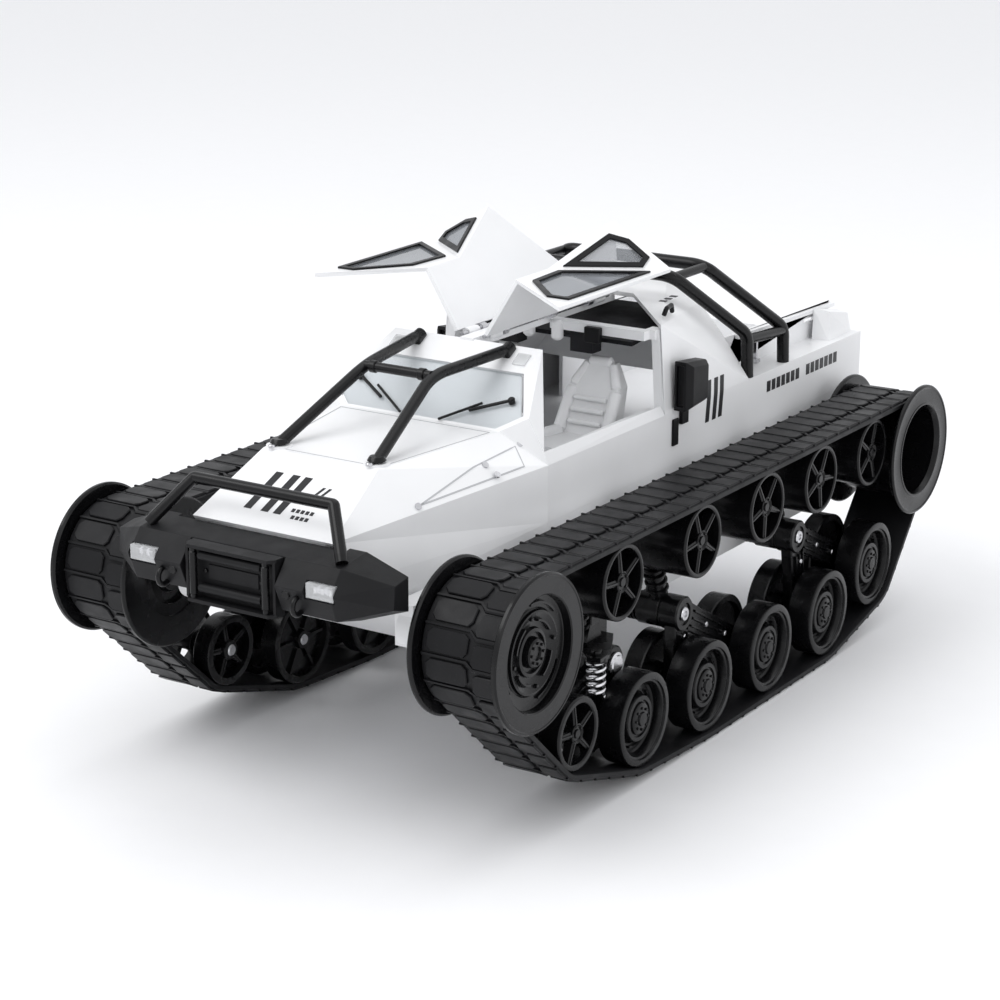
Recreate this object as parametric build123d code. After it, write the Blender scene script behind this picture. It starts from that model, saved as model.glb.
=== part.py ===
from build123d import *
import math
import os

# Tracked vehicle with a faceted white body, gull-wing doors and two sprung belt tracks.
# Millimetres, +Z up, front towards -Y, +X is the vehicle's left. Shapes are laid out about the
# midpoint of the two drum axles and moved by Y_SHIFT so that the whole is centred.

Y_SHIFT = 9.5

# running gear, across the vehicle
FLANGE_OUT = 112.5
FLANGE_IN = 71.1
FLANGE_T = 2.5
BELT_X0 = 74.6
BELT_X1 = 109.0
HULL_X = 62.0

# running gear, side view: (y, z) and radii
DRUM_Y = 177.3
DRUM_Z = 86.0
DRUM_FLANGE_R = 32.5
DRUM_R = 24.3
BELT_DRUM_R = 24.6
BELT_T = 2.3
PAD_T = 1.2
PAD_PITCH = 12.0
PAD_GAP = 1.4
ROAD_R = 20.7
ROAD_BELT_R = 21.0
ROAD = [(-85.9, 27.7), (-28.2, 24.5), (30.4, 24.5), (89.5, 24.5), (139.0, 35.8)]
ROLLER_R = 16.5
ROLLER_Z = 93.6
ROLLER_Y = [-103.8, -36.2, 23.9, 78.4, 134.0]
TENSION = (-138.3, 38.4)
TENSION_R = 15.9
TENSION_BELT_R = 16.2

# wheel faces along x
OUT_X0 = 95.5
OUT_X1 = 107.5
IN_X0 = 73.5
IN_X1 = 82.5
LEG_X0 = 86.0
LEG_X1 = 92.0
SHAFT_R = 3.0
RUN_CLEAR = 0.05
PIVOT_R = 3.5
ROLLER_AXLE_R = 2.0
DRUM_AXLE_R = 4.0
SHAFT_IN_X = 44.0
BOSS_R = 8.0
PIVOTS = [(-88.0, 50.5), (-27.0, 55.0), (84.0, 61.5)]

# body
WALL = 2.0
DECK_Z = 108.0
BELLY_Z = 51.0
DOOR_OPEN = 58.0
HINGE_X = 5.6
HINGE_ROD_R = 0.9
HINGE_Z = 174.6
PANE = 1.8
DOOR_GAP = 0.5
INSIDE = (0, -20, 118)
TUBE_R = 2.5
HOOP_R = 3.0

os.makedirs("parts", exist_ok=True)


def save(name, shapes):
    """Move the shapes to the centred frame and write one STEP."""
    items = shapes if isinstance(shapes, list) else [shapes]
    solids = []
    for item in items:
        solids.extend(item.moved(Location((0, Y_SHIFT, 0))).solids())
    out = solids[0] if len(solids) == 1 else Compound(children=solids)
    export_step(out, "parts/" + name + ".step")
    box = out.bounding_box()
    print(name, len(solids), [round(v, 1) for v in (*box.min, *box.max)])


def both(shape):
    """A shape and its mirror image across the centre plane."""
    return [shape, mirror(shape, about=Plane.YZ)]


def sub(a, b):
    return (a[0] - b[0], a[1] - b[1], a[2] - b[2])


def cross(a, b):
    return (a[1] * b[2] - a[2] * b[1], a[2] * b[0] - a[0] * b[2], a[0] * b[1] - a[1] * b[0])


def dot(a, b):
    return a[0] * b[0] + a[1] * b[1] + a[2] * b[2]


def unit(a):
    size = math.sqrt(dot(a, a))
    return (a[0] / size, a[1] / size, a[2] / size)


def flip(p):
    return (-p[0], p[1], p[2])


def shrink(points, factor):
    """Polygon pulled in towards its centre."""
    mid = tuple(sum(p[a] for p in points) / len(points) for a in range(3))
    return [tuple(mid[a] + (p[a] - mid[a]) * factor for a in range(3)) for p in points]


def push(points, n, dist):
    """Points moved along a direction."""
    return [tuple(p[a] + n[a] * dist for a in range(3)) for p in points]


def across(row):
    """Row of near-side points closed with its mirror image."""
    return row + [flip(p) for p in reversed(row)]


def face_of(points):
    return Face(Wire.make_polygon([Vector(*p) for p in points], close=True))


def hull(points):
    """Convex solid through the given corners."""
    faces = []
    seen = []
    count = len(points)
    for i in range(count):
        for j in range(i + 1, count):
            for k in range(j + 1, count):
                raw = cross(sub(points[j], points[i]), sub(points[k], points[i]))
                if dot(raw, raw) < 1e-9:
                    continue
                n = unit(raw)
                side = [dot(n, sub(p, points[i])) for p in points]
                if max(side) > 1e-4 and min(side) < -1e-4:
                    continue
                if max(side) > 1e-4:
                    n = (-n[0], -n[1], -n[2])
                ring = tuple(m for m in range(count) if abs(side[m]) <= 1e-4)
                if ring in seen:
                    continue
                seen.append(ring)
                mid = tuple(sum(points[m][a] for m in ring) / len(ring) for a in range(3))
                u = unit(sub(points[ring[0]], mid))
                v = cross(n, u)

                def turn(m):
                    d = sub(points[m], mid)
                    return math.atan2(dot(d, v), dot(d, u))

                faces.append(face_of([points[m] for m in sorted(ring, key=turn)]))
    return Solid(Shell(faces))


def plate(points, thick, inside=(0, 0, 100)):
    """Flat plate with its outer face on the points, grown towards the inside point."""
    n = unit(cross(sub(points[1], points[0]), sub(points[2], points[0])))
    if dot(n, sub(inside, points[0])) < 0:
        n = (-n[0], -n[1], -n[2])
    flat = []
    for p in points:
        off = dot(n, sub(p, points[0]))
        flat.append((p[0] - n[0] * off, p[1] - n[1] * off, p[2] - n[2] * off))
    return Solid.extrude(face_of(flat), Vector(*n) * thick)


def outward(points):
    """Direction a facet faces, away from the middle of the hull."""
    n = unit(cross(sub(points[1], points[0]), sub(points[2], points[0])))
    return n if dot(n, sub(INSIDE, points[0])) < 0 else (-n[0], -n[1], -n[2])


def behind(normals):
    """Offset that lies one unit behind every one of the given facets, as nearly as it can."""
    rows = [[sum(n[a] * n[b] for n in normals) for b in range(3)] for a in range(3)]
    for a in range(3):
        rows[a][a] += 1e-6
    total = [sum(n[a] for n in normals) for a in range(3)]
    turned = [cross(rows[1], rows[2]), cross(rows[2], rows[0]), cross(rows[0], rows[1])]
    size = dot(rows[0], turned[0])
    return tuple(-sum(total[r] * turned[r][a] for r in range(3)) / size for a in range(3))


def skin(facets, thick):
    """Closed sheet over triangular facets, mitred where they meet."""
    turned = []
    facing = {}
    for points in facets:
        n = outward(points)
        raw = cross(sub(points[1], points[0]), sub(points[2], points[0]))
        turned.append(points if dot(raw, n) > 0 else points[::-1])
        for p in points:
            facing.setdefault(p, []).append(n)
    inner = {}
    for p, normals in facing.items():
        inner[p] = push([p], behind(normals), thick)[0]
    edges = {(t[i], t[(i + 1) % 3]) for t in turned for i in range(3)}
    faces = []
    for t in turned:
        faces.append(face_of(t))
        faces.append(face_of([inner[p] for p in t[::-1]]))
    for a, b in edges:
        if (b, a) not in edges:
            faces.append(face_of([b, a, inner[a]]))
            faces.append(face_of([b, inner[a], inner[b]]))
    return Solid(Shell(faces))


def fan(points):
    """Polygon as triangles from its first corner."""
    return [[points[0], points[i], points[i + 1]] for i in range(1, len(points) - 1)]


def both_sides(facets):
    """Facets of one side and their mirror images."""
    return facets + [[flip(p) for p in f] for f in facets]


def block(x0, x1, y0, y1, z0, z1):
    """Box between two corners."""
    return Pos((x0 + x1) / 2, (y0 + y1) / 2, (z0 + z1) / 2) * Box(x1 - x0, y1 - y0, z1 - z0)


def rod_x(r, x0, x1, y, z):
    """Cylinder along X."""
    return Pos((x0 + x1) / 2, y, z) * Rot(0, 90, 0) * Cylinder(r, x1 - x0)


def rod_y(r, y0, y1, x, z):
    """Cylinder along Y."""
    return Pos(x, (y0 + y1) / 2, z) * Rot(90, 0, 0) * Cylinder(r, y1 - y0)


def ring_x(r_out, r_in, x0, x1, y, z):
    """Tube along X."""
    return rod_x(r_out, x0, x1, y, z) - rod_x(r_in, x0 - 1, x1 + 1, y, z)


def tube(points, r, bend):
    """Round bar along a polyline with rounded bends."""
    path = FilletPolyline(*points, radius=bend)
    start = Plane(origin=path @ 0, z_dir=path % 0)
    return sweep(start * Circle(r), path=path)


def spoke_bars(count, r_in, r_out, wide, x0, x1, y, z):
    """Straight spokes of a wheel that turns about X."""
    bars = []
    for i in range(count):
        a = 360.0 * i / count
        bar = Box(x1 - x0, wide, r_out - r_in)
        bars.append(Pos((x0 + x1) / 2, y, z) * Rot(a, 0, 0) * Pos(0, 0, (r_in + r_out) / 2) * bar)
    return bars


# ---- wheels ------------------------------------------------------------------------------------

def road_wheel(y, z):
    """Double dished wheel on one shaft."""
    outer = rod_x(ROAD_R, OUT_X0, OUT_X1, y, z)
    outer -= rod_x(ROAD_R - 3.5, OUT_X1 - 5.0, OUT_X1 + 1, y, z)
    outer += rod_x(8.5, OUT_X1 - 6.0, OUT_X1 - 2.2, y, z)
    outer += rod_x(4.5, OUT_X1 - 3.0, OUT_X1 - 0.8, y, z)
    for i in range(8):
        a = math.radians(45.0 * i)
        outer += rod_x(0.7, OUT_X1 - 3.0, OUT_X1 - 1.6, y + 6.4 * math.cos(a), z + 6.4 * math.sin(a))
    inner = rod_x(ROAD_R, IN_X0, IN_X1, y, z)
    inner -= ring_x(ROAD_R - 3.5, 5.5, IN_X1 - 3.0, IN_X1 + 1, y, z)
    inner -= ring_x(ROAD_R - 3.5, 5.5, IN_X0 - 1, IN_X0 + 3.0, y, z)
    shaft = rod_x(SHAFT_R, IN_X0, OUT_X0 + 1, y, z)
    hubs = rod_x(5.5, IN_X1 - 4, IN_X1 + 2.5, y, z) + rod_x(5.5, OUT_X0 - 2.5, OUT_X0 + 1, y, z)
    return outer + inner + shaft + hubs


def tension_wheel(y, z):
    """Small double spoked wheel."""
    x1 = OUT_X1 - 1.0
    outer = ring_x(TENSION_R, TENSION_R - 3.0, OUT_X0 + 1, x1, y, z)
    outer += rod_x(4.2, OUT_X0 - 2.5, x1, y, z)
    outer += spoke_bars(5, 3.0, TENSION_R - 2.0, 2.2, x1 - 6.0, x1 - 1.0, y, z)
    inner = rod_x(TENSION_R, IN_X0, IN_X1, y, z)
    inner -= ring_x(TENSION_R - 3.0, 5.0, IN_X0 - 1, IN_X0 + 3.0, y, z)
    shaft = rod_x(SHAFT_R, IN_X0, OUT_X0, y, z) + rod_x(5.0, IN_X1 - 1, IN_X1 + 2.5, y, z)
    return outer + inner + shaft


def return_roller(y, z):
    """Wide roller with a spoked outer face, free on its axle."""
    x0 = 76.5
    x1 = OUT_X1 - 1.0
    rim = ring_x(ROLLER_R, ROLLER_R - 2.2, x0, x1, y, z)
    web = rod_x(ROLLER_R - 2.0, x0 + 8, x0 + 11, y, z)
    hub = rod_x(4.4, x0, x1, y, z)
    spokes = spoke_bars(5, 3.6, ROLLER_R - 1.6, 2.0, x1 - 5.0, x1 - 1.0, y, z)
    wheel = rim + web + hub + spokes
    return wheel - rod_x(ROLLER_AXLE_R + RUN_CLEAR, x0 - 1, x1 - 1.5, y, z)




def flanges(y):
    pair = rod_x(DRUM_FLANGE_R, FLANGE_IN, FLANGE_IN + FLANGE_T, y, DRUM_Z)
    return pair + rod_x(DRUM_FLANGE_R, FLANGE_OUT - FLANGE_T, FLANGE_OUT, y, DRUM_Z)


def front_drum():
    """Idler drum: flat rim, stepped dish and bolted hub, free on its axle."""
    y = -DRUM_Y
    drum = rod_x(DRUM_R, FLANGE_IN, FLANGE_OUT, y, DRUM_Z) + flanges(y)
    drum -= rod_x(DRUM_R - 1.6, FLANGE_OUT - 2.0, FLANGE_OUT + 1, y, DRUM_Z)
    drum -= rod_x(DRUM_R - 5.0, FLANGE_OUT - 6.0, FLANGE_OUT + 1, y, DRUM_Z)
    drum += rod_x(13.5, FLANGE_OUT - 7.0, FLANGE_OUT - 3.0, y, DRUM_Z)
    drum += rod_x(7.0, FLANGE_OUT - 4.0, FLANGE_OUT - 1.5, y, DRUM_Z)
    for i in range(8):
        a = math.radians(45.0 * i)
        drum += rod_x(1.0, FLANGE_OUT - 4.0, FLANGE_OUT - 2.2, y + 10.2 * math.cos(a), DRUM_Z + 10.2 * math.sin(a))
    drum -= ring_x(DRUM_R - 2.5, 8.0, FLANGE_IN - 1, FLANGE_OUT - 12.0, y, DRUM_Z)
    return drum - rod_x(DRUM_AXLE_R + RUN_CLEAR, FLANGE_IN - 1, FLANGE_OUT - 9.0, y, DRUM_Z)


def rear_drum():
    """Drive drum: wide ring flange around a deep open bore, with its own drive shaft."""
    y = DRUM_Y
    drum = rod_x(DRUM_R, FLANGE_IN, FLANGE_OUT, y, DRUM_Z) + flanges(y)
    drum -= rod_x(DRUM_R - 2.0, FLANGE_OUT - 22.0, FLANGE_OUT + 1, y, DRUM_Z)
    drum += rod_x(10.0, FLANGE_OUT - 23.0, FLANGE_OUT - 18.0, y, DRUM_Z)
    drum -= ring_x(DRUM_R - 2.5, 9.0, FLANGE_IN - 1, FLANGE_OUT - 27.0, y, DRUM_Z)
    return drum + rod_x(DRUM_AXLE_R, SHAFT_IN_X, FLANGE_OUT - 20.0, y, DRUM_Z)




# ---- belts -------------------------------------------------------------------------------------

CIRCLES = [(-DRUM_Y, DRUM_Z, BELT_DRUM_R), (TENSION[0], TENSION[1], TENSION_BELT_R)]
CIRCLES += [(y, z, ROAD_BELT_R) for y, z in ROAD]
CIRCLES += [(DRUM_Y, DRUM_Z, BELT_DRUM_R)]


def belt_path():
    """Straight runs of the belt's inner line as (start, end, outward normal, arc centre, arc radius)."""
    runs = []
    for i, (y0, z0, r0) in enumerate(CIRCLES):
        y1, z1, r1 = CIRCLES[(i + 1) % len(CIRCLES)]
        gap = math.hypot(y1 - y0, z1 - z0)
        a = math.atan2(z1 - z0, y1 - y0) + math.asin((r0 - r1) / gap)
        n = (math.sin(a), -math.cos(a))
        runs.append(((y0 + r0 * n[0], z0 + r0 * n[1]), (y1 + r1 * n[0], z1 + r1 * n[1]), n, a))
    return runs


def arc_turn(a, b):
    """Anticlockwise turn from one direction to the next, nought where the belt runs straight on."""
    turn = (b - a) % (2 * math.pi)
    return 0.0 if turn > math.pi or turn < 1e-6 else turn


def belt_loop(grow):
    """Closed wire around the wheels, set out from the inner line."""
    runs = belt_path()
    edges = []
    for i, (start, end, n, a) in enumerate(runs):
        p0 = Vector(0, start[0] + grow * n[0], start[1] + grow * n[1])
        p1 = Vector(0, end[0] + grow * n[0], end[1] + grow * n[1])
        edges.append(Edge.make_line(p0, p1))
        y, z, r = CIRCLES[(i + 1) % len(CIRCLES)]
        turn = arc_turn(a, runs[(i + 1) % len(runs)][3])
        if turn == 0.0:
            continue
        am = a + turn / 2
        rr = r + grow
        n2 = runs[(i + 1) % len(runs)][2]
        mid = Vector(0, y + rr * math.sin(am), z - rr * math.cos(am))
        p2 = Vector(0, y + rr * n2[0], z + rr * n2[1])
        edges.append(Edge.make_three_point_arc(p1, mid, p2))
    return Wire(edges)


def pad_places():
    """Centre, along-angle and outward normal of every pad."""
    runs = belt_path()
    pieces = []
    for i, (start, end, n, a) in enumerate(runs):
        length = math.hypot(end[0] - start[0], end[1] - start[1])
        pieces.append(("line", start, a, length, None))
        y, z, r = CIRCLES[(i + 1) % len(CIRCLES)]
        turn = arc_turn(a, runs[(i + 1) % len(runs)][3])
        pieces.append(("arc", (y, z), a, turn * (r + BELT_T), r))
    total = sum(p[3] for p in pieces)
    count = round(total / PAD_PITCH)
    places = []
    for k in range(count):
        s = total * (k + 0.5) / count
        for kind, at, a, length, r in pieces:
            if s > length:
                s -= length
                continue
            if kind == "line":
                y = at[0] + s * math.cos(a)
                z = at[1] + s * math.sin(a)
                places.append((y, z, a, 0.0))
            else:
                b = a + s / (r + BELT_T)
                places.append((at[0], at[1], b, r))
            break
    return places, total / count


def belt():
    """Band with a raised pad at every pitch."""
    outer = Face(belt_loop(BELT_T))
    inner = Face(belt_loop(0.0))
    wide = BELT_X1 - BELT_X0
    band = Solid.extrude(outer, Vector(wide, 0, 0)) - Solid.extrude(inner, Vector(wide, 0, 0))
    places, pitch = pad_places()
    pads = []
    sink = 0.5
    for y, z, a, r in places:
        pad = Box(wide - 1.0, pitch - PAD_GAP, PAD_T + sink)
        lift = Pos(0, 0, -(r + BELT_T + (PAD_T - sink) / 2))
        pads.append(Pos(wide / 2, y, z) * Rot(math.degrees(a), 0, 0) * lift * pad)
    loop = Pos(BELT_X0, 0, 0) * (Part() + band + pads)
    return loop - block(BELT_X0 - 1, BELT_X1 + 1, -150, 150, -5, 0)


# ---- bogies, struts, axles, springs ------------------------------------------------------------

def leg(p, q, wide_p, wide_q):
    """Tapered bar between two points in side view."""
    dy = q[0] - p[0]
    dz = q[1] - p[1]
    size = math.hypot(dy, dz)
    ny = -dz / size
    nz = dy / size
    corners = [
        (LEG_X0, p[0] + ny * wide_p, p[1] + nz * wide_p),
        (LEG_X0, q[0] + ny * wide_q, q[1] + nz * wide_q),
        (LEG_X0, q[0] - ny * wide_q, q[1] - nz * wide_q),
        (LEG_X0, p[0] - ny * wide_p, p[1] - nz * wide_p),
    ]
    return Solid.extrude(face_of(corners), Vector(LEG_X1 - LEG_X0, 0, 0))


def bogie(pivot, wheels):
    """Two-legged rocker that carries two wheels."""
    body = rod_x(BOSS_R, LEG_X0 - 0.4, LEG_X1, pivot[0], pivot[1])
    for wheel in wheels:
        body += leg(pivot, wheel, 6.5, 4.8)
        body += rod_x(6.2, LEG_X0, LEG_X1, wheel[0], wheel[1])
    body += leg(wheels[0], wheels[1], 3.0, 3.0)
    body -= rod_x(PIVOT_R + RUN_CLEAR, LEG_X0 - 2, LEG_X1 - 1.2, pivot[0], pivot[1])
    for wheel in wheels:
        body -= rod_x(SHAFT_R + RUN_CLEAR, LEG_X0 - 2, LEG_X1 + 2, wheel[0], wheel[1])
    return body


BOGIE_WHEELS = [[TENSION, ROAD[0]], [ROAD[1], ROAD[2]], [ROAD[3], ROAD[4]]]


def struts():
    """Arms fixed to the hull that hold the bogie pivots."""
    parts = []
    for i, (y, z) in enumerate(PIVOTS):
        pin = rod_x(PIVOT_R, 83.0, LEG_X1 - 1.6, y, z)
        if i == 0:
            arm = block(83.2, 85.2, y - 5, y + 5, z - 6, 74.0)
            arm += rod_x(5.0, HULL_X, 85.2, y, 70.0)
            parts.append(arm + pin)
        else:
            arm = rod_x(6.0, HULL_X, 85.2, y, z) + pin
            arm += ring_x(7.0, 3.0, 76.0, 83.0, y, z)
            parts.append(arm)
    return parts


def axles():
    """Fixed axle pins of the rollers and front drum."""
    pins = [rod_x(DRUM_AXLE_R, HULL_X, FLANGE_OUT - 9.5, -DRUM_Y, DRUM_Z)]
    pins += [rod_x(ROLLER_AXLE_R, HULL_X, OUT_X1 - 3.0, y, ROLLER_Z) for y in ROLLER_Y]
    return pins


SPRING_R = 3.6
SPRING_WIRE = 0.7
SPRING_TURNS = 5
SPRING_X = 97.2
SPRING_Y = -110.0
SPRING_Z0 = 43.9
SPRING_Z1 = 59.7


def spring_seats():
    """Ledge on the front bogie and ledge on its strut that hold the spring."""
    low = block(LEG_X1 - 1, SPRING_X + 4.5, SPRING_Y - 5, SPRING_Y + 5, 40.5, 43.0)
    high = block(83.2, SPRING_X + 4.5, SPRING_Y - 5, -84.0, 60.6, 63.0)
    return low, high


def front_spring():
    """Coil spring between the two ledges."""
    tall = SPRING_Z1 - SPRING_Z0
    coil = Helix(pitch=tall / SPRING_TURNS, height=tall, radius=SPRING_R)
    start = Plane(origin=coil @ 0, z_dir=coil % 0)
    return Pos(SPRING_X, SPRING_Y, SPRING_Z0) * sweep(start * Circle(SPRING_WIRE), path=coil)


# ---- body --------------------------------------------------------------------------------------

SIDE_X = 60.5
SPINE_X = 3.4
FOLD = (29.2, -168.0, 145.0)
NOSE = (35.0, -207.0, 125.0)
NOSE_LOW = (41.9, -188.7, DECK_Z)
CHIN = (46.0, -178.0, 98.0)
SCREEN_FOOT = (41.3, -98.4, 146.7)
SCREEN_SIDE = (51.5, -91.0, 152.3)
SCREEN_TOP = (39.8, -72.4, 166.4)
HEADER = (38.6, -60.0, 174.0)
CREASE = (SIDE_X, -90.0, 133.0)
CREASE_LOW = (SIDE_X, -90.0, DECK_Z)
SILL_FRONT = (58.5, -90.0, 138.5)
SILL_REAR = (59.3, 7.0, 137.5)
CREASE_REAR = (SIDE_X, 9.0, 133.0)
ROOF_SIDE = (57.5, 9.0, 174.0)
ROOF_MID = (15.0, 57.5, 175.0)
ROOF_END = (15.0, 90.0, 176.6)
TAIL_A = (33.0, 90.0, 167.0)
TAIL_B = (44.0, 90.0, 155.0)
TAIL_C = (SIDE_X, 90.0, 133.0)
REAR_Y = 213.0
REAR_TOP = (SIDE_X, REAR_Y, 133.0)
REAR_LOW = (SIDE_X, REAR_Y, DECK_Z)
BED_X = 45.0
BED_Y1 = 197.0
BED_LIP_Y = 208.0
LEDGE_A = (44.0, 90.0, 133.0)
LEDGE_B = (44.0, 196.0, 133.0)


SCREEN = across([SCREEN_TOP, SCREEN_SIDE, SCREEN_FOOT])
REAR_WINDOW = across([(14.0, 90.0, 170.0), (30.0, 90.0, 161.0), (38.0, 90.0, 150.0)])


def body_shell():
    """Upper body from flat facets, open at the doors, windows and bed."""
    side_row = [REAR_LOW, CREASE_LOW, CREASE, CREASE_REAR, TAIL_C, REAR_TOP]
    near = [
        [NOSE, NOSE_LOW, CREASE_LOW],
        [NOSE, CREASE_LOW, CREASE],
        [FOLD, NOSE, CREASE],
        [FOLD, SCREEN_FOOT, CREASE],
        [SCREEN_FOOT, SCREEN_SIDE, CREASE],
        [SCREEN_SIDE, SILL_FRONT, CREASE],
        [HEADER, SCREEN_TOP, SCREEN_SIDE],
        [HEADER, SCREEN_SIDE, SILL_FRONT],
        [CREASE, CREASE_REAR, SILL_REAR],
        [CREASE, SILL_REAR, SILL_FRONT],
        [ROOF_SIDE, ROOF_MID, ROOF_END],
        [ROOF_SIDE, ROOF_END, TAIL_A],
        [ROOF_SIDE, TAIL_A, TAIL_B],
        [ROOF_SIDE, TAIL_B, TAIL_C],
        [ROOF_SIDE, TAIL_C, CREASE_REAR],
        [TAIL_C, LEDGE_A, LEDGE_B],
        [TAIL_C, LEDGE_B, REAR_TOP],
    ]
    middle = fan(across([FOLD, SCREEN_FOOT])) + fan(across([FOLD, NOSE])) + fan(across([NOSE, NOSE_LOW]))
    middle += fan(across([HEADER, SCREEN_TOP])) + fan(across([ROOF_MID, ROOF_END])) + fan(SCREEN)
    middle += fan(across([ROOF_END, TAIL_A, TAIL_B, TAIL_C, LEDGE_A]))
    middle += fan(across([REAR_TOP, REAR_LOW])) + fan(across([REAR_TOP, LEDGE_B]))
    parts = [skin(both_sides(near + fan(side_row)) + middle, WALL)]
    wall = [(BED_X, 89, 150.5), (BED_X, BED_LIP_Y, 147.5), (BED_X, BED_Y1, 132), (BED_X, BED_Y1, DECK_Z), (BED_X, 89, DECK_Z)]
    slot = block(40, 50, 178, 190, 141.5, 143.5)
    parts += both(plate(wall, WALL) - slot)
    gate = across([(BED_X, BED_LIP_Y, 147.5), (BED_X, BED_Y1, 132.0)])
    parts.append(plate(gate, WALL, (0, 150, 140)))
    parts.append(block(-BED_X, BED_X, BED_Y1 - WALL, BED_Y1, DECK_Z, 133))
    rim = [(BED_X, 104, 150.1), (BED_X, BED_LIP_Y, 147.5), (BED_X + 2.5, BED_LIP_Y, 147.5), (BED_X + 2.5, 104, 150.1)]
    parts += both(plate(rim, WALL))
    deck = across([(40.0, -187.0, DECK_Z + 2), (58.6, -90.0, DECK_Z + 2), (58.6, REAR_Y - 1, DECK_Z + 2)])
    parts.append(plate(deck, 2.0, (0, 0, 0)))
    spine = block(-SPINE_X, SPINE_X, -61, 60, 170.0, HINGE_Z)
    parts.append(spine)
    parts += both(block(3.5, 53.0, 2.0, 7.5, 167.5, 171.8))
    jamb = [(56.6, 9, 172), (52.5, 9, 172), (59.6, 9, 134), (55.0, 9, 134)]
    jamb += [(56.2, 14, 170), (52.5, 14, 170), (59.4, 14, 134), (55.0, 14, 134)]
    parts += both(hull(jamb))
    parts += both(block(50.5, 55.5, 7.0, 14.0, 167.5, 171.8))
    parts += both(block(50.5, 57.0, -86.0, 11.0, 130.5, 134.5))
    corner = [(47.9, 182, 131.5), (57, 184, 131.5), (47.9, 211.5, 131.5), (56, 211.5, 131.5)]
    corner += [(47.9, 183, 149), (55.5, 186, 147.5), (47.9, 210, 143.5), (54, 210, 142.5)]
    parts += both(hull(corner))
    for x in (-24.7, 24.7):
        parts.append(Pos(x, -162.8, 145.3) * Cylinder(5.5, 1.2))
    shell = Part() + parts
    shell -= plate(shrink(push(SCREEN, (0, 0, 1), 0.5), 0.94), 9, INSIDE)
    shell -= plate(push(REAR_WINDOW, (0, 1, 0), 1), 9, (0, 0, 118))
    return shell - block(-80, 80, -230, 230, 80, DECK_Z)


def tub():
    """Lower hull, open under the body deck, with bosses for every axle and strut."""
    top = DECK_Z
    outer = [NOSE_LOW, CREASE_LOW, REAR_LOW, CHIN, (57.0, -112.0, BELLY_Z), (60.0, -95.0, BELLY_Z)]
    outer += [(60.0, 184.0, BELLY_Z), (60.3, REAR_Y, 96.0)]
    inner = [(39.4, -184.5, top + 1), (58.0, -89.0, top + 1), (58.0, REAR_Y - 2.5, top + 1), (43.5, -174.0, 99.5)]
    inner += [(54.5, -109.5, BELLY_Z + 2.5), (57.5, -93.5, BELLY_Z + 2.5)]
    inner += [(57.5, 182.5, BELLY_Z + 2.5), (57.8, REAR_Y - 2.5, 97.0)]
    body = hull(outer + [flip(p) for p in outer]) - hull(inner + [flip(p) for p in inner])
    bosses = both(rod_x(9.0, 50.0, HULL_X, -DRUM_Y, DRUM_Z))
    bosses += both(block(48.0, 57.0, -184.0, -132.0, 79.0, 97.0))
    bosses += both(rod_x(9.0, 52.0, HULL_X, DRUM_Y, DRUM_Z))
    for y in ROLLER_Y:
        bosses += both(rod_x(5.0, 54.0, HULL_X, y, ROLLER_Z))
    for y, z in PIVOTS:
        bosses += both(rod_x(6.5, 55.0, HULL_X, y, 70.0 if y < -60 else z))
    body = Part() + ([body] + bosses)
    for x0, x1 in ((50, 64), (-64, -50)):
        body -= rod_x(DRUM_AXLE_R + RUN_CLEAR, x0, x1, DRUM_Y, DRUM_Z)
    return body


def glazing():
    """Windscreen and rear window panes."""
    screen = plate(shrink(SCREEN, 0.915), 1.2, INSIDE)
    rear = plate(shrink(REAR_WINDOW, 0.97), 1.2, (0, 0, 118))
    return [screen, rear]


# ---- doors -------------------------------------------------------------------------------------

DOOR_H1 = (7.8, -57.5, HINGE_Z)
DOOR_H2 = (7.8, 55.0, HINGE_Z)
DOOR_K = (58.0, 6.6, HINGE_Z)
DOOR_V = (38.8, -32.0, HINGE_Z)
DOOR_F = (38.4, -57.4, HINGE_Z)
DOOR_R = (59.0, 5.6, 139.2)
DOOR_T = (57.8, -86.5, 139.6)


def on_plane(points, x, y):
    """Point of a pane's plane above a given x and y."""
    n = cross(sub(points[1], points[0]), sub(points[2], points[0]))
    z = points[0][2] - (n[0] * (x - points[0][0]) + n[1] * (y - points[0][1])) / n[2]
    return (x, y, z)


UPPER = [DOOR_V, DOOR_K, DOOR_R]
LOWER = [DOOR_V, DOOR_R, DOOR_T]


def mix(points, weights):
    """Point at the given weights of a triangle's corners."""
    return tuple(sum(w * p[a] for w, p in zip(weights, points)) for a in range(3))


# window outlines as weights of the triangle's corners
UPPER_GLASS = [(0.17, 0.72, 0.11), (0.06, 0.60, 0.34), (0.07, 0.22, 0.71), (0.22, 0.02, 0.76), (0.86, 0.04, 0.10)]
LOWER_GLASS = [(0.07, 0.82, 0.11), (0.84, 0.08, 0.08), (0.80, -0.15, 0.35), (0.32, -0.07, 0.75), (0.08, 0.09, 0.83)]
FRAME_WIDE = 2.6
REBATE = 1.6


def window(tri, corners):
    return [mix(tri, c) for c in corners]


def inset(points, n, dist):
    """Convex outline with every edge moved inward in its plane."""
    c = tuple(sum(p[a] for p in points) / len(points) for a in range(3))
    rows = []
    for i, p in enumerate(points):
        sides = []
        for q, r in ((points[i - 1], p), (p, points[(i + 1) % len(points)])):
            e = unit(cross(n, sub(r, q)))
            sides.append(e if dot(e, sub(c, q)) > 0 else tuple(-v for v in e))
        scale = dist / (1 + dot(*sides))
        rows.append(tuple(p[a] + scale * (sides[0][a] + sides[1][a]) for a in range(3)))
    return rows


def opened(shape):
    """Near-side door piece swung from shut to the open rest pose."""
    axis = Axis((HINGE_X, 0, HINGE_Z), (0, 1, 0))
    return shape.rotate(axis, -DOOR_OPEN)


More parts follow.
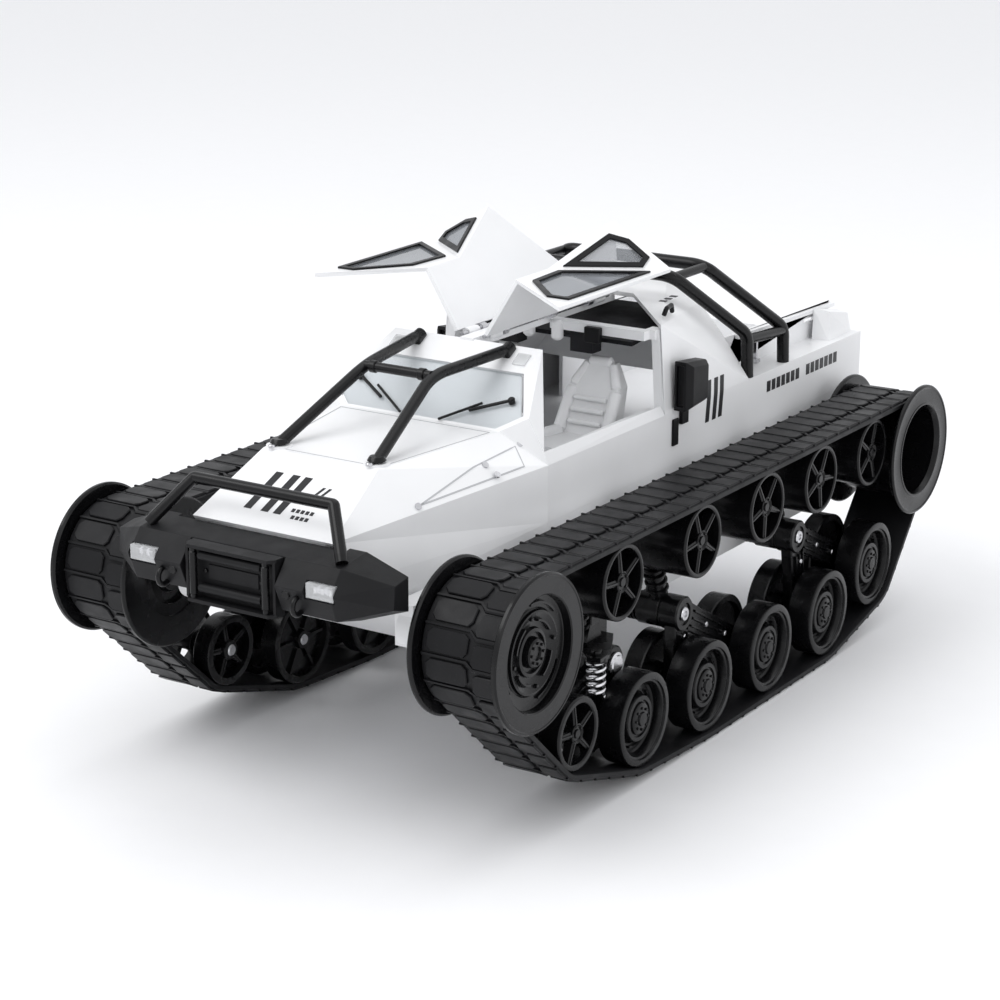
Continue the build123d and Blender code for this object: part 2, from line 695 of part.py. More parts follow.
def door_panel():
    """Folded door: roof pane and two side panes with window openings."""
    roof = [[DOOR_H1, DOOR_V, DOOR_F], [DOOR_H1, DOOR_H2, DOOR_V], [DOOR_H2, DOOR_K, DOOR_V]]
    side = [UPPER, LOWER, [DOOR_F, DOOR_V, DOOR_T]]
    panel = Part() + [skin(roof + side, PANE)]
    for tri, corners in ((UPPER, UPPER_GLASS), (LOWER, LOWER_GLASS)):
        n = outward(tri)
        panel -= plate(push(inset(window(tri, corners), n, REBATE), n, 2), 6, INSIDE)
    for y0, y1 in ((-52.0, -44.0), (36.0, 44.0)):
        panel += block(HINGE_X, 9.0, y0, y1, HINGE_Z - PANE, HINGE_Z)
        panel += rod_y(2.0, y0, y1, HINGE_X, HINGE_Z - 0.4)
        panel -= rod_y(HINGE_ROD_R + RUN_CLEAR, y0 - 1, y1 + 1, HINGE_X, HINGE_Z)
    return panel


def door_glass():
    panes = []
    for tri, corners in ((UPPER, UPPER_GLASS), (LOWER, LOWER_GLASS)):
        n = outward(tri)
        panes.append(plate(push(inset(window(tri, corners), n, REBATE + RUN_CLEAR), n, -0.3), 1.0, INSIDE))
    return panes


def door_frames():
    """Raised window frames with small rivets on the outer face."""
    frames = []
    for tri, corners in ((UPPER, UPPER_GLASS), (LOWER, LOWER_GLASS)):
        n = outward(tri)
        outline = window(tri, corners)
        outer = plate(push(outline, n, 0.9), 0.9, INSIDE)
        inner = plate(push(inset(outline, n, FRAME_WIDE), n, 2.0), 6.0, INSIDE)
        frames.append(outer - inner)
    return frames


# ---- black trim --------------------------------------------------------------------------------

def straight(p, q, r):
    """Round bar between two points."""
    line = Line(p, q)
    start = Plane(origin=line @ 0, z_dir=line % 0)
    return sweep(start * Circle(r), path=line)


def windscreen_trim():
    """Two bent bars over the screen with a cross tie, and two wipers."""
    foot = (24.7, -162.8, 146.2)
    bend = (17.1, -112.7, 170.4)
    top = (23.4, -67.0, 172.9)
    bars = both(tube([foot, bend, top], TUBE_R, 8.0))
    bars.append(straight(bend, flip(bend), TUBE_R - 0.4))
    frame = Part() + bars
    wipers = []
    for x0, x1 in ((34.0, 14.0), (-12.0, -30.0)):
        low = on_plane(SCREEN, x0, -94.0 if x0 > 0 else -96.0)
        high = on_plane(SCREEN, x1, -84.0)
        wipers.append(straight(push([low], (0, 0, 1), 2.0)[0], push([high], (0, 0, 1), 2.0)[0], 0.8))
    return [frame] + wipers


def rear_hoops():
    """Two hoops over the bed, tied together at the bends."""
    foot_x = 57.6
    bend = 9.0
    frame = []
    for y, top_y, bend_z in ((93.5, 52.0, 153.9), (131.0, 82.0, 150.5)):
        row = [(foot_x, y, 133.2), (foot_x, y - 1, bend_z), (38.7, top_y, 187.0)]
        frame.append(tube(row + [flip(p) for p in reversed(row)], HOOP_R, bend))
    frame += both(straight((foot_x, 92.5, 151.5), (foot_x, 130.0, 149.0), TUBE_R))
    frame += both(straight((38.7, 52.0, 186.0), (38.7, 82.0, 186.0), TUBE_R - 0.3))
    return Part() + frame


def bumper():
    """Faceted bumper with a central recess."""
    mid = [(-205.0, 124.0), (-222.0, 121.5), (-229.5, 112.0), (-225.0, 101.0), (-209.0, 97.0)]
    points = []
    for x in (-50.0, 50.0):
        points += [(x, y, z) for y, z in mid]
    for x in (-69.0, 69.0):
        points += [(x, -204.0, 117.0), (x, -213.0, 115.5), (x, -214.0, 106.0), (x, -204.0, 103.0)]
    body = hull(points)
    body -= block(-23.5, 23.5, -240, -221.5, 96.0, 123.0)
    for s in (-1, 1):
        body -= block(min(s * 37, s * 51), max(s * 37, s * 51), -240, -224.5, 109.0, 116.0)
    body -= block(-42, 42, -207.5, -200, 90, 128)
    brackets = []
    for x in (-30.0, 30.0):
        side = [(-208.5, 110.5), (-208.5, 116.5), (-197.9, 116.5), (-191.5, 110.5)]
        brackets.append(hull([(x + dx, y, z) for dx in (-5, 5) for y, z in side]))
    return body, brackets


def bumper_hoop():
    foot = (48.1, -218.5, 122.6)
    corner = (34.8, -205.5, 140.5)
    low = (46.5, -217.0, 125.0)
    row = [foot, low, corner]
    return tube(row + [flip(p) for p in reversed(row)], TUBE_R, 1.2)


def bumper_fittings():
    """Rope guide with four rollers, and two tow rings."""
    guide = block(-22.5, 22.5, -225.0, -221.5, 97.5, 121.5)
    for z0 in (97.5, 119.9):
        guide += block(-22.5, 22.5, -229.6, -221.5, z0, z0 + 1.6)
    for x in (-18.0, 18.0):
        guide += Pos(x, -228.6, 109.5) * Cylinder(2.1, 21.5)
    for z in (103.6, 116.6):
        guide += rod_x(1.9, -18.0, 18.0, -227.0, z)
    rings = []
    for x in (-33.5, 33.5):
        ring = Pos(x, -227.6, 105.0) * Rot(0, 90, 0) * Torus(3.5, 1.2)
        rings.append(ring - block(x - 5, x + 5, -227.0, -210, 90, 112))
    return [guide] + rings


def lamps():
    """Clear bar lamps in the bumper and small lamps in the header."""
    parts = both(block(37.4, 50.6, -228.0, -224.6, 109.4, 115.6))
    n = outward([HEADER, SCREEN_TOP, flip(SCREEN_TOP)])
    for s in (-1, 1):
        rows = [(s * 29.0, 0.30), (s * 35.5, 0.30), (s * 35.5, 0.78), (s * 29.0, 0.78)]
        pts = []
        for x, t in rows:
            y = HEADER[1] + (SCREEN_TOP[1] - HEADER[1]) * t
            z = HEADER[2] + (SCREEN_TOP[2] - HEADER[2]) * t
            pts.append((x, y, z))
        parts.append(plate(push(pts, n, 0.8), 0.8, INSIDE))
    return parts


def side_fittings():
    """Mirrors, latch plates and grab handles."""
    mirror_body = hull([
        (61.6, 15, 134), (61.6, 15, 157), (61.6, 34, 136), (61.6, 34, 155),
        (67.5, 15, 134), (67.5, 15, 157), (70.0, 18, 136.5), (70.0, 18, 154.5),
        (70.0, 32, 138), (70.0, 32, 153), (67.5, 34, 136), (67.5, 34, 155),
    ])
    mirror_body -= block(62.8, 66.4, 10, 17, 136, 155)
    stem = block(60.5, 62.5, 22, 28, 126.0, 137.0)
    latch = block(60.5, 61.6, 15.5, 20.5, 117.0, 129.5)
    grip = tube([(51.5, 22, 175.3), (51.8, 24, 178.4), (47.6, 36, 177.2), (46.9, 38, 173.6)], 1.1, 1.3)
    return both(mirror_body + stem) + both(latch) + both(grip)


def small_fittings():
    """Body screws, and the hook on the bed wall."""
    fender = [((43.4, -161.0, 129.9), (0.755, -0.207, 0.623)), ((48.0, -119.2, 138.0), (0.612, -0.126, 0.781))]
    fender += [((53.1, -117.9, 134.3), (0.612, -0.126, 0.781)), ((48.9, -94.0, 141.4), (0.612, -0.126, 0.781))]
    parts = []
    for at, n in fender:
        parts += both(Plane(origin=at, z_dir=n) * Pos(0, 0, 0.4) * Cylinder(1.5, 0.8))
    hook = block(45.0, 47.5, 122, 123.6, 134, 146) + block(45.0, 49.0, 120.0, 123.6, 133.2, 135)
    return parts + both(hook)


# ---- cabin and inside --------------------------------------------------------------------------

def seat(x):
    """Bucket seat."""
    base = hull([
        (x - 15, -38, 110), (x + 15, -38, 110), (x - 15, 0, 110), (x + 15, 0, 110),
        (x - 14, -38, 124), (x + 14, -38, 124), (x - 14, 0, 121), (x + 14, 0, 121),
    ])
    back = hull([
        (x - 15, -6, 116), (x + 15, -6, 116), (x - 15, 4, 116), (x + 15, 4, 116),
        (x - 13, 6, 142), (x + 13, 6, 142), (x - 13, 14, 142), (x + 13, 14, 142),
        (x - 7, 11, 152), (x + 7, 11, 152), (x - 7, 17, 152), (x + 7, 17, 152),
    ])
    return base + back


def cabin_fittings():
    """Two seats, a dashboard with steering wheel and the inside mirror."""
    parts = [seat(-25.0), seat(25.0)]
    dash = hull([
        (-47, -92, 110), (47, -92, 110), (-47, -66, 110), (47, -66, 110),
        (-44, -92, 142), (44, -92, 142), (-44, -70, 137), (44, -70, 137),
    ])
    wheel = Pos(25, -58, 134) * Rot(68, 0, 0) * Torus(8.5, 1.1)
    column = straight((25, -69, 128), (25, -58, 134), 1.4)
    bars = Pos(25, -58, 134) * Rot(68, 0, 0) * Box(16.5, 1.8, 1.6)
    parts.append(dash + wheel + column + bars)
    parts.append(block(-8, 8, -63.0, -60.8, 158.5, 164.0) + block(-1, 1, -63.0, -61.5, 164, 169.4))
    return parts


def roof_liner():
    """Dark lining under the rear roof and two blocks under the cross bar."""
    sheet = across([(42.0, 10.5, 165.0), (38.0, 40.0, 163.0), (22.0, 86.0, 158.4)])
    parts = [Solid.extrude(face_of([(x, y, 162.0) for x, y, _ in sheet]), Vector(0, 0, 2.0))]
    parts += both(block(14.0, 26.0, 2.5, 10.4, 158.0, 167.0))
    return parts


def drive_units():
    """Gearbox and motor for each drive drum."""
    box = block(13.0, SHAFT_IN_X - 0.3, 158, 186, 70, 104)
    motor = rod_y(13.0, 110.0, 158.0, 27.0, 80.0)
    return both(box + motor)


def battery():
    pack = block(-23, 23, -22, 72, 54.0, 80.0)
    return fillet(pack.edges(), 2.0)


def control_board():
    board = block(-28, 28, -86, -36, 58.0, 59.6)
    for x, y in ((-15, -70), (6, -72), (16, -50), (-10, -48)):
        board += block(x - 5, x + 5, y - 4, y + 4, 59.0, 63.5)
    for x in (-24, 24):
        board += Pos(x, -61, 55.8) * Cylinder(2.5, 4.6)
    return board


def hinge_rods():
    """Rods the doors turn on, each held by collars on the spine."""
    parts = []
    for y0, y1 in ((-56.0, 50.0),):
        rod = rod_y(HINGE_ROD_R, y0, y1, HINGE_X, HINGE_Z)
        for y in (-42.0, -2.0, 30.0):
            rod += rod_y(1.9, y, y + 4.0, HINGE_X, HINGE_Z)
            rod += block(SPINE_X, HINGE_X, y, y + 4.0, HINGE_Z - 1.9, HINGE_Z)
        parts.append(rod)
    return both(parts[0])


# ---- write every piece -------------------------------------------------------------------------

def write_pair(stem, shapes):
    """Near-side piece as left, its mirror image as right."""
    items = shapes if isinstance(shapes, list) else [shapes]
    save(stem + "_left", items)
    save(stem + "_right", [mirror(item, about=Plane.YZ) for item in items])


save("body_shell", body_shell())
save("hull_tub", tub())
save("glazing", glazing())
write_pair("door_panel", opened(door_panel()))
write_pair("door_glass", [opened(p) for p in door_glass()])
write_pair("door_frames", [opened(p) for p in door_frames()])
save("hinge_rods", hinge_rods())
save("windscreen_trim", windscreen_trim())
save("rear_hoops", rear_hoops())
bumper_body, bumper_brackets = bumper()
save("bumper", Part() + [bumper_body] + bumper_brackets)
save("bumper_hoop", bumper_hoop())
save("bumper_fittings", bumper_fittings())
save("lamp_lenses", lamps())
save("side_fittings", side_fittings())
save("small_fittings", small_fittings())
save("cabin_fittings", cabin_fittings())
save("roof_liner", roof_liner())
save("drive_units", drive_units())
save("battery_pack", battery())
save("control_board", control_board())

seat_low, seat_high = spring_seats()
strut_list = struts()
strut_list[0] = strut_list[0] + seat_high
save("suspension_struts", [s for part in strut_list for s in both(part)])
save("axle_pins", [s for part in axles() for s in both(part)])
save("front_springs", both(front_spring()))

write_pair("track_belt", belt())
write_pair("front_drum", front_drum())
write_pair("rear_drum", rear_drum())
write_pair("tension_wheel", tension_wheel(*TENSION))
for i, (y, z) in enumerate(ROAD):
    write_pair("road_wheel_%d" % (i + 1), road_wheel(y, z))
for i, y in enumerate(ROLLER_Y):
    write_pair("return_roller_%d" % (i + 1), return_roller(y, ROLLER_Z))
for i, name in enumerate(("front", "middle", "rear")):
    rocker = bogie(PIVOTS[i], BOGIE_WHEELS[i])
    if i == 0:
        rocker += seat_low
    write_pair("bogie_" + name, rocker)
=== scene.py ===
import math

import bmesh
import bpy
from mathutils import Matrix, Vector


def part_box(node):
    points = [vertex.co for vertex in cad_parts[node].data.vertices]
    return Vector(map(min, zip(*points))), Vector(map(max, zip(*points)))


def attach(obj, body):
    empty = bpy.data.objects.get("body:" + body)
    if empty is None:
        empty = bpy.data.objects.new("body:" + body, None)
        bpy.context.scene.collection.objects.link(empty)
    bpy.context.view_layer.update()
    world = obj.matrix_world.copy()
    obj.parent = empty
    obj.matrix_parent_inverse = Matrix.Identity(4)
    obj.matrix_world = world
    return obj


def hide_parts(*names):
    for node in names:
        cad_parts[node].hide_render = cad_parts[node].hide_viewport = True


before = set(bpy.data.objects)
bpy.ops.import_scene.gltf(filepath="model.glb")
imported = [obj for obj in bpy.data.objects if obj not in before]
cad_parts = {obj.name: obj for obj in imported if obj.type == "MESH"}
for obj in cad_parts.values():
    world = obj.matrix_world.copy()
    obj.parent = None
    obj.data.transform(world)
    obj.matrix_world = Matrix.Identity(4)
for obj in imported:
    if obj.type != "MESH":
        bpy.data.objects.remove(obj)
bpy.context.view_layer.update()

MM = 0.001
SIDES = (("left", 1.0), ("right", -1.0))


def middle(node):
    lo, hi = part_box(node)
    return (lo + hi) / 2 / MM


# layout frame of the CAD: y from the middle of the two drum axles
DRUM_Y = 177.3
SHIFT = middle("front_drum_left").y + DRUM_Y


def place(p):
    """Layout point in millimetres to the scene in metres."""
    return Vector((p[0] * MM, (p[1] + SHIFT) * MM, p[2] * MM))


# running gear across the vehicle (x) and its radii, millimetres
OUT_X0, OUT_X1 = 95.5, 107.5
IN_X0, IN_X1 = 73.5, 82.5
SPOKED_OUT = 106.5
FLANGE_OUT, FLANGE_IN = 112.5, 71.1
AXLE_END_X, AXLE_END_R = 72.9, 2.6
ROAD_R, TENSION_R, ROLLER_R, FLANGE_R = 20.7, 15.9, 16.5, 32.5


# ---- camera --------------------------------------------------------------------------------------

AZIMUTH, ELEVATION, ROLL = math.radians(33.05), math.radians(16.69), math.radians(0.17)
camera = bpy.data.objects.new("camera", bpy.data.cameras.new("camera"))
bpy.context.scene.collection.objects.link(camera)
back = Vector((math.sin(AZIMUTH) * math.cos(ELEVATION), -math.cos(AZIMUTH) * math.cos(ELEVATION),
               math.sin(ELEVATION)))
right = Vector((math.cos(AZIMUTH), math.sin(AZIMUTH), 0.0))
up = back.cross(right)
rolled_right = right * math.cos(ROLL) + up * math.sin(ROLL)
rolled_up = up * math.cos(ROLL) - right * math.sin(ROLL)
turn = Matrix((rolled_right, rolled_up, back)).transposed()
camera.matrix_world = Matrix.Translation(place((604.42, -962.85, 426.13))) @ turn.to_4x4()
camera.data.lens = 91.81
camera.data.sensor_width = 36.0
camera.data.clip_start = 0.05
camera.data.clip_end = 60.0
bpy.context.scene.camera = camera


# ---- materials -----------------------------------------------------------------------------------

def surface(name, colour, rough, metal=0.0, coat=0.0, speck=0.0, tint=0.06, vary=0.08, grain=0.0,
            grain_size=2600.0, wave=0.0, spec=0.5):
    """Procedural plastic, rubber or metal: colour variation, patchy roughness and a fine moulded grain."""
    m = bpy.data.materials.new(name)
    m.use_nodes = True
    nodes, links = m.node_tree.nodes, m.node_tree.links
    bsdf = nodes["Principled BSDF"]
    bsdf.inputs["Metallic"].default_value = metal
    bsdf.inputs["Coat Weight"].default_value = coat
    bsdf.inputs["Coat Roughness"].default_value = 0.08
    bsdf.inputs["Specular IOR Level"].default_value = spec
    coords = nodes.new("ShaderNodeTexCoord")

    def noise(scale, detail, rough_amount=0.5):
        n = nodes.new("ShaderNodeTexNoise")
        n.inputs["Scale"].default_value = scale
        n.inputs["Detail"].default_value = detail
        n.inputs["Roughness"].default_value = rough_amount
        links.new(coords.outputs["Object"], n.inputs["Vector"])
        return n

    def span(source, low, high, from_low=0.3, from_high=0.7):
        r = nodes.new("ShaderNodeMapRange")
        r.inputs["From Min"].default_value = from_low
        r.inputs["From Max"].default_value = from_high
        r.inputs["To Min"].default_value = low
        r.inputs["To Max"].default_value = high
        links.new(source, r.inputs["Value"])
        return r

    clouds = noise(55.0, 4.0)
    ramp = nodes.new("ShaderNodeMix")
    ramp.data_type = "RGBA"
    ramp.inputs["A"].default_value = (*[c * (1 - tint) for c in colour], 1)
    ramp.inputs["B"].default_value = (*[min(1.0, c * (1 + tint) + tint * 0.004) for c in colour], 1)
    links.new(span(clouds.outputs["Fac"], 0.0, 1.0).outputs["Result"], ramp.inputs["Factor"])
    colour_out = ramp.outputs["Result"]
    if speck:
        dust = noise(900.0, 3.0)
        mixed = nodes.new("ShaderNodeMix")
        mixed.data_type = "RGBA"
        mixed.inputs["B"].default_value = (0.32, 0.32, 0.33, 1)
        links.new(colour_out, mixed.inputs["A"])
        links.new(span(dust.outputs["Fac"], 0.0, speck, 0.62, 0.74).outputs["Result"], mixed.inputs["Factor"])
        colour_out = mixed.outputs["Result"]
    links.new(colour_out, bsdf.inputs["Base Color"])
    patches = noise(120.0, 5.0)
    links.new(span(patches.outputs["Fac"], rough * (1 - vary), rough * (1 + vary)).outputs["Result"],
              bsdf.inputs["Roughness"])
    if grain or wave:
        bump = nodes.new("ShaderNodeBump")
        bump.inputs["Strength"].default_value = grain or wave
        bump.inputs["Distance"].default_value = 0.0002
        links.new(noise(grain_size if grain else 140.0, 4.0, 0.6).outputs["Fac"], bump.inputs["Height"])
        links.new(bump.outputs["Normal"], bsdf.inputs["Normal"])
    return m


def clear(name, tint, rough, see_through):
    """Thin clear moulded sheet: mostly see-through, with a gloss that grows at grazing angles."""
    m = bpy.data.materials.new(name)
    m.use_nodes = True
    nodes, links = m.node_tree.nodes, m.node_tree.links
    bsdf = nodes["Principled BSDF"]
    bsdf.inputs["Base Color"].default_value = (*tint, 1)
    bsdf.inputs["Coat Weight"].default_value = 0.6
    coords = nodes.new("ShaderNodeTexCoord")
    ripple = nodes.new("ShaderNodeTexNoise")
    ripple.inputs["Scale"].default_value = 90.0
    ripple.inputs["Detail"].default_value = 3.0
    links.new(coords.outputs["Object"], ripple.inputs["Vector"])
    amount = nodes.new("ShaderNodeMapRange")
    amount.inputs["To Min"].default_value = rough * 0.7
    amount.inputs["To Max"].default_value = rough * 1.4
    links.new(ripple.outputs["Fac"], amount.inputs["Value"])
    links.new(amount.outputs["Result"], bsdf.inputs["Roughness"])
    bump = nodes.new("ShaderNodeBump")
    bump.inputs["Strength"].default_value = 0.12
    bump.inputs["Distance"].default_value = 0.0004
    links.new(ripple.outputs["Fac"], bump.inputs["Height"])
    links.new(bump.outputs["Normal"], bsdf.inputs["Normal"])
    edge = nodes.new("ShaderNodeFresnel")
    edge.inputs["IOR"].default_value = 1.45
    alpha = nodes.new("ShaderNodeMapRange")
    alpha.inputs["To Min"].default_value = 1.0 - see_through
    alpha.inputs["To Max"].default_value = 1.0
    links.new(edge.outputs["Fac"], alpha.inputs["Value"])
    links.new(alpha.outputs["Result"], bsdf.inputs["Alpha"])
    return m


WHITE = surface("white_shell", (0.86, 0.863, 0.872), 0.34, tint=0.012, vary=0.12, wave=0.02, coat=0.12)
HULL = surface("white_hull", (0.82, 0.823, 0.832), 0.40, tint=0.015, vary=0.14, wave=0.03)
CABIN = surface("cabin_white", (0.82, 0.823, 0.83), 0.48, tint=0.02, vary=0.12, grain=0.10)
# Mid grey: painted shade for the lines along the hood and fender recess steps, which are not modelled as
# recesses.
RECESS_EDGE_SHADE = surface("painted_recess_edge_shade", (0.46, 0.465, 0.48), 0.5, tint=0.04, vary=0.1)
TRIM = surface("black_trim", (0.005, 0.005, 0.006), 0.40, tint=0.2, vary=0.15, grain=0.12, spec=0.2)
GLOSS = surface("black_gloss", (0.003, 0.003, 0.0035), 0.26, tint=0.2, vary=0.22, wave=0.05, coat=0.06,
                speck=0.01, spec=0.24)
BUMPER = surface("bumper_black", (0.008, 0.008, 0.009), 0.50, tint=0.18, vary=0.12, grain=0.30,
                 grain_size=1700.0, spec=0.2)
TUBE = surface("black_tube", (0.003, 0.003, 0.0035), 0.28, tint=0.2, vary=0.2, wave=0.05, coat=0.06,
               spec=0.26)
RUBBER = surface("rubber", (0.006, 0.006, 0.007), 0.44, tint=0.22, vary=0.18, grain=0.22, grain_size=1900.0,
                 speck=0.02, spec=0.2)
STEEL = surface("steel", (0.62, 0.62, 0.64), 0.26, metal=1.0, tint=0.08, vary=0.3, grain=0.06)
SPRING = surface("spring_steel", (0.72, 0.72, 0.74), 0.18, metal=1.0, tint=0.06, vary=0.3, wave=0.04)
LINER = surface("liner", (0.010, 0.010, 0.012), 0.75, tint=0.25, vary=0.1, grain=0.4, grain_size=3500.0,
                spec=0.25)
DECAL = surface("mark_black", (0.012, 0.012, 0.014), 0.38, tint=0.15, vary=0.12, grain=0.08, spec=0.35)
BOARD = surface("board_green", (0.02, 0.16, 0.07), 0.35, tint=0.2, vary=0.2, grain=0.1)
BATTERY = surface("battery_wrap", (0.03, 0.07, 0.22), 0.28, tint=0.15, vary=0.2, wave=0.15)
MOTOR = surface("motor_metal", (0.35, 0.35, 0.37), 0.35, metal=0.9, tint=0.1, vary=0.2, grain=0.1)
MIRROR = surface("mirror_silver", (0.80, 0.80, 0.82), 0.12, metal=1.0, tint=0.04, vary=0.2, wave=0.02)
GLASS = clear("clear", (0.80, 0.83, 0.85), 0.05, 0.95)
DOOR_GLASS = clear("clear_door", (0.42, 0.44, 0.47), 0.06, 0.72)
LENS = clear("lamp_lens", (0.86, 0.87, 0.88), 0.08, 0.62)


# ---- mesh helpers --------------------------------------------------------------------------------

class Build:
    """Collects vertices (layout millimetres) and faces of one piece."""

    def __init__(self):
        self.verts = []
        self.faces = []

    def add(self, verts, faces):
        base = len(self.verts)
        self.verts += [tuple(v) for v in verts]
        self.faces += [tuple(base + i for i in f) for f in faces]

    def prism(self, ring, top):
        """Solid between two rings of equally many points."""
        n = len(ring)
        faces = [tuple(reversed(range(n))), tuple(range(n, 2 * n))]
        faces += [(i, (i + 1) % n, n + (i + 1) % n, n + i) for i in range(n)]
        self.add(list(ring) + list(top), faces)

    def stack(self, rings, closed=False):
        """Solid lofted through rings of equally many points."""
        n = len(rings[0])
        faces = []
        count = len(rings)
        for k in range(count if closed else count - 1):
            a, b = k * n, ((k + 1) % count) * n
            faces += [(a + i, a + (i + 1) % n, b + (i + 1) % n, b + i) for i in range(n)]
        if not closed:
            faces += [tuple(reversed(range(n))), tuple((count - 1) * n + i for i in range(n))]
        self.add([p for r in rings for p in r], faces)

    def box(self, x0, x1, y0, y1, z0, z1):
        self.prism([(x0, y0, z0), (x1, y0, z0), (x1, y1, z0), (x0, y1, z0)],
                   [(x0, y0, z1), (x1, y0, z1), (x1, y1, z1), (x0, y1, z1)])

    def lathe(self, profile, y, z, turns=48, phase=0.0):
        """Solid of revolution about the X line through (y, z); profile is (x, radius) from axis to axis."""
        rings = []
        for x, r in profile:
            ring = []
            for i in range(turns):
                a = phase + 2 * math.pi * i / turns
                ring.append((x, y + r * math.cos(a), z + r * math.sin(a)))
            rings.append(ring)
        self.stack(rings)

    def ring(self, profile, y, z, turns=48):
        """Closed ring of revolution about the X direction; profile is a closed loop of (x, radius)."""
        rings = []
        for i in range(turns):
            a = 2 * math.pi * i / turns
            rings.append([(x, y + r * math.cos(a), z + r * math.sin(a)) for x, r in profile])
        self.stack(rings, closed=True)

    def arc(self, x0, x1, r0, r1, a0, a1, y, z, steps=8):
        """Raised arc on a wheel face."""
        rings = []
        for i in range(steps + 1):
            a = math.radians(a0 + (a1 - a0) * i / steps)
            c, s = math.cos(a), math.sin(a)
            rings.append([(x0, y + r0 * c, z + r0 * s), (x1, y + (r0 + 0.15) * c, z + (r0 + 0.15) * s),
                          (x1, y + (r1 - 0.15) * c, z + (r1 - 0.15) * s), (x0, y + r1 * c, z + r1 * s)])
        self.stack(rings)

    def rod(self, p, q, r0, r1=None, turns=20, caps=0.0):
        """Round bar between two points, its ends eased by caps."""
        r1 = r0 if r1 is None else r1
        a, b = Vector(p), Vector(q)
        d = (b - a).normalized()
        side = d.orthogonal().normalized()
        other = d.cross(side)
        rings = []
        length = (b - a).length
        stations = [(0.0, r0 - caps), (caps, r0), (length - caps, r1), (length, r1 - caps)] if caps \
            else [(0.0, r0), (length, r1)]
        for s, r in stations:
            rings.append([tuple(a + d * s + (side * math.cos(t) + other * math.sin(t)) * r)
                          for t in [2 * math.pi * i / turns for i in range(turns)]])
        self.stack(rings)

    def mirrored(self):
        other = Build()
        other.verts = [(-x, y, z) for x, y, z in self.verts]
        other.faces = [tuple(reversed(f)) for f in self.faces]
        return other

    def joined(self, *others):
        for o in others:
            self.add(o.verts, o.faces)
        return self

    def finish(self, name, material, body, slot=None, sharp=32.0, bevel=0.0, smooth=True):
        me = bpy.data.meshes.new(name)
        me.from_pydata([place(v) for v in self.verts], [], self.faces)
        me.validate()
        bm = bmesh.new()
        bm.from_mesh(me)
        bmesh.ops.recalc_face_normals(bm, faces=bm.faces)
        bm.to_mesh(me)
        bm.free()
        if smooth:
            me.shade_smooth()
            me.set_sharp_from_angle(angle=math.radians(sharp))
        me.materials.append(material)
        ob = bpy.data.objects.new(name, me)
        bpy.context.scene.collection.objects.link(ob)
        if bevel:
            mod = ob.modifiers.new("bevel", "BEVEL")
            mod.width = bevel * MM
            mod.segments = 2
            mod.limit_method = "ANGLE"
            mod.angle_limit = math.radians(32)
            mod.harden_normals = True
        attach(ob, body)
        return ob


def on_side(b, sign):
    """Pieces are built for the left side and mirrored for the right."""
    return b if sign > 0 else b.mirrored()


def radial(x, r, w, c, s, y, z):
    """Point at radius r along a direction (c, s) of a wheel, w to the side."""
    return (x, y + r * c - w * s, z + r * s + w * c)


def eased(profile, amount):
    """Profile with every sharp inner corner cut by a short chamfer."""
    out = [profile[0]]
    for a, b, c in zip(profile, profile[1:], profile[2:]):
        va, vc = Vector(a) - Vector(b), Vector(c) - Vector(b)
        cut = min(amount, va.length * 0.4, vc.length * 0.4)
        if cut < 0.02:
            out.append(b)
            continue
        p, q = Vector(b) + va.normalized() * cut, Vector(b) + vc.normalized() * cut
        out.append(tuple(p))
        out.append(tuple(p * 0.25 + Vector(b) * 0.5 + q * 0.25))
        out.append(tuple(q))
    out.append(profile[-1])
    return out


# ---- belts ---------------------------------------------------------------------------------------

BELT_T = 2.3
PAD_T = 1.2
PITCH = 12.0
BELT_X0, BELT_X1 = 74.6, 109.0


def circles(side):
    drum, road, small = 24.6, 21.0, 16.2
    names = [("front_drum_", drum), ("tension_wheel_", small)]
    names += [(f"road_wheel_{i}_", road) for i in range(1, 6)] + [("rear_drum_", drum)]
    out = []
    for stem, r in names:
        c = middle(stem + side)
        out.append((c.y - SHIFT, c.z, r))
    return out


def belt_route(rounds):
    """Runs and arcs of the belt's inner line: (kind, data, start angle, length on the outer face)."""
    runs = []
    for i, (y0, z0, r0) in enumerate(rounds):
        y1, z1, r1 = rounds[(i + 1) % len(rounds)]
        gap = math.hypot(y1 - y0, z1 - z0)
        a = math.atan2(z1 - z0, y1 - y0) + math.asin((r0 - r1) / gap)
        n = (math.sin(a), -math.cos(a))
        runs.append(((y0 + r0 * n[0], z0 + r0 * n[1]), (y1 + r1 * n[0], z1 + r1 * n[1]), a))
    route = []
    for i, (p, q, a) in enumerate(runs):
        route.append((p, None, a, math.hypot(q[0] - p[0], q[1] - p[1])))
        y, z, r = rounds[(i + 1) % len(rounds)]
        bend = (runs[(i + 1) % len(runs)][2] - a) % (2 * math.pi)
        if 1e-6 < bend < math.pi:
            route.append(((y, z), r, a, bend * (r + BELT_T)))
    return route


def belt_point(route, total, s, lift):
    """Point at a distance along the belt, lifted off its inner line."""
    s %= total
    for at, r, a, length in route:
        if s > length:
            s -= length
            continue
        if r is None:
            return (at[0] + s * math.cos(a) + lift * math.sin(a),
                    at[1] + s * math.sin(a) - lift * math.cos(a))
        b = a + s / (r + BELT_T)
        return (at[0] + (r + lift) * math.sin(b), at[1] - (r + lift) * math.cos(b))
    return (route[0][0][0], route[0][0][1])


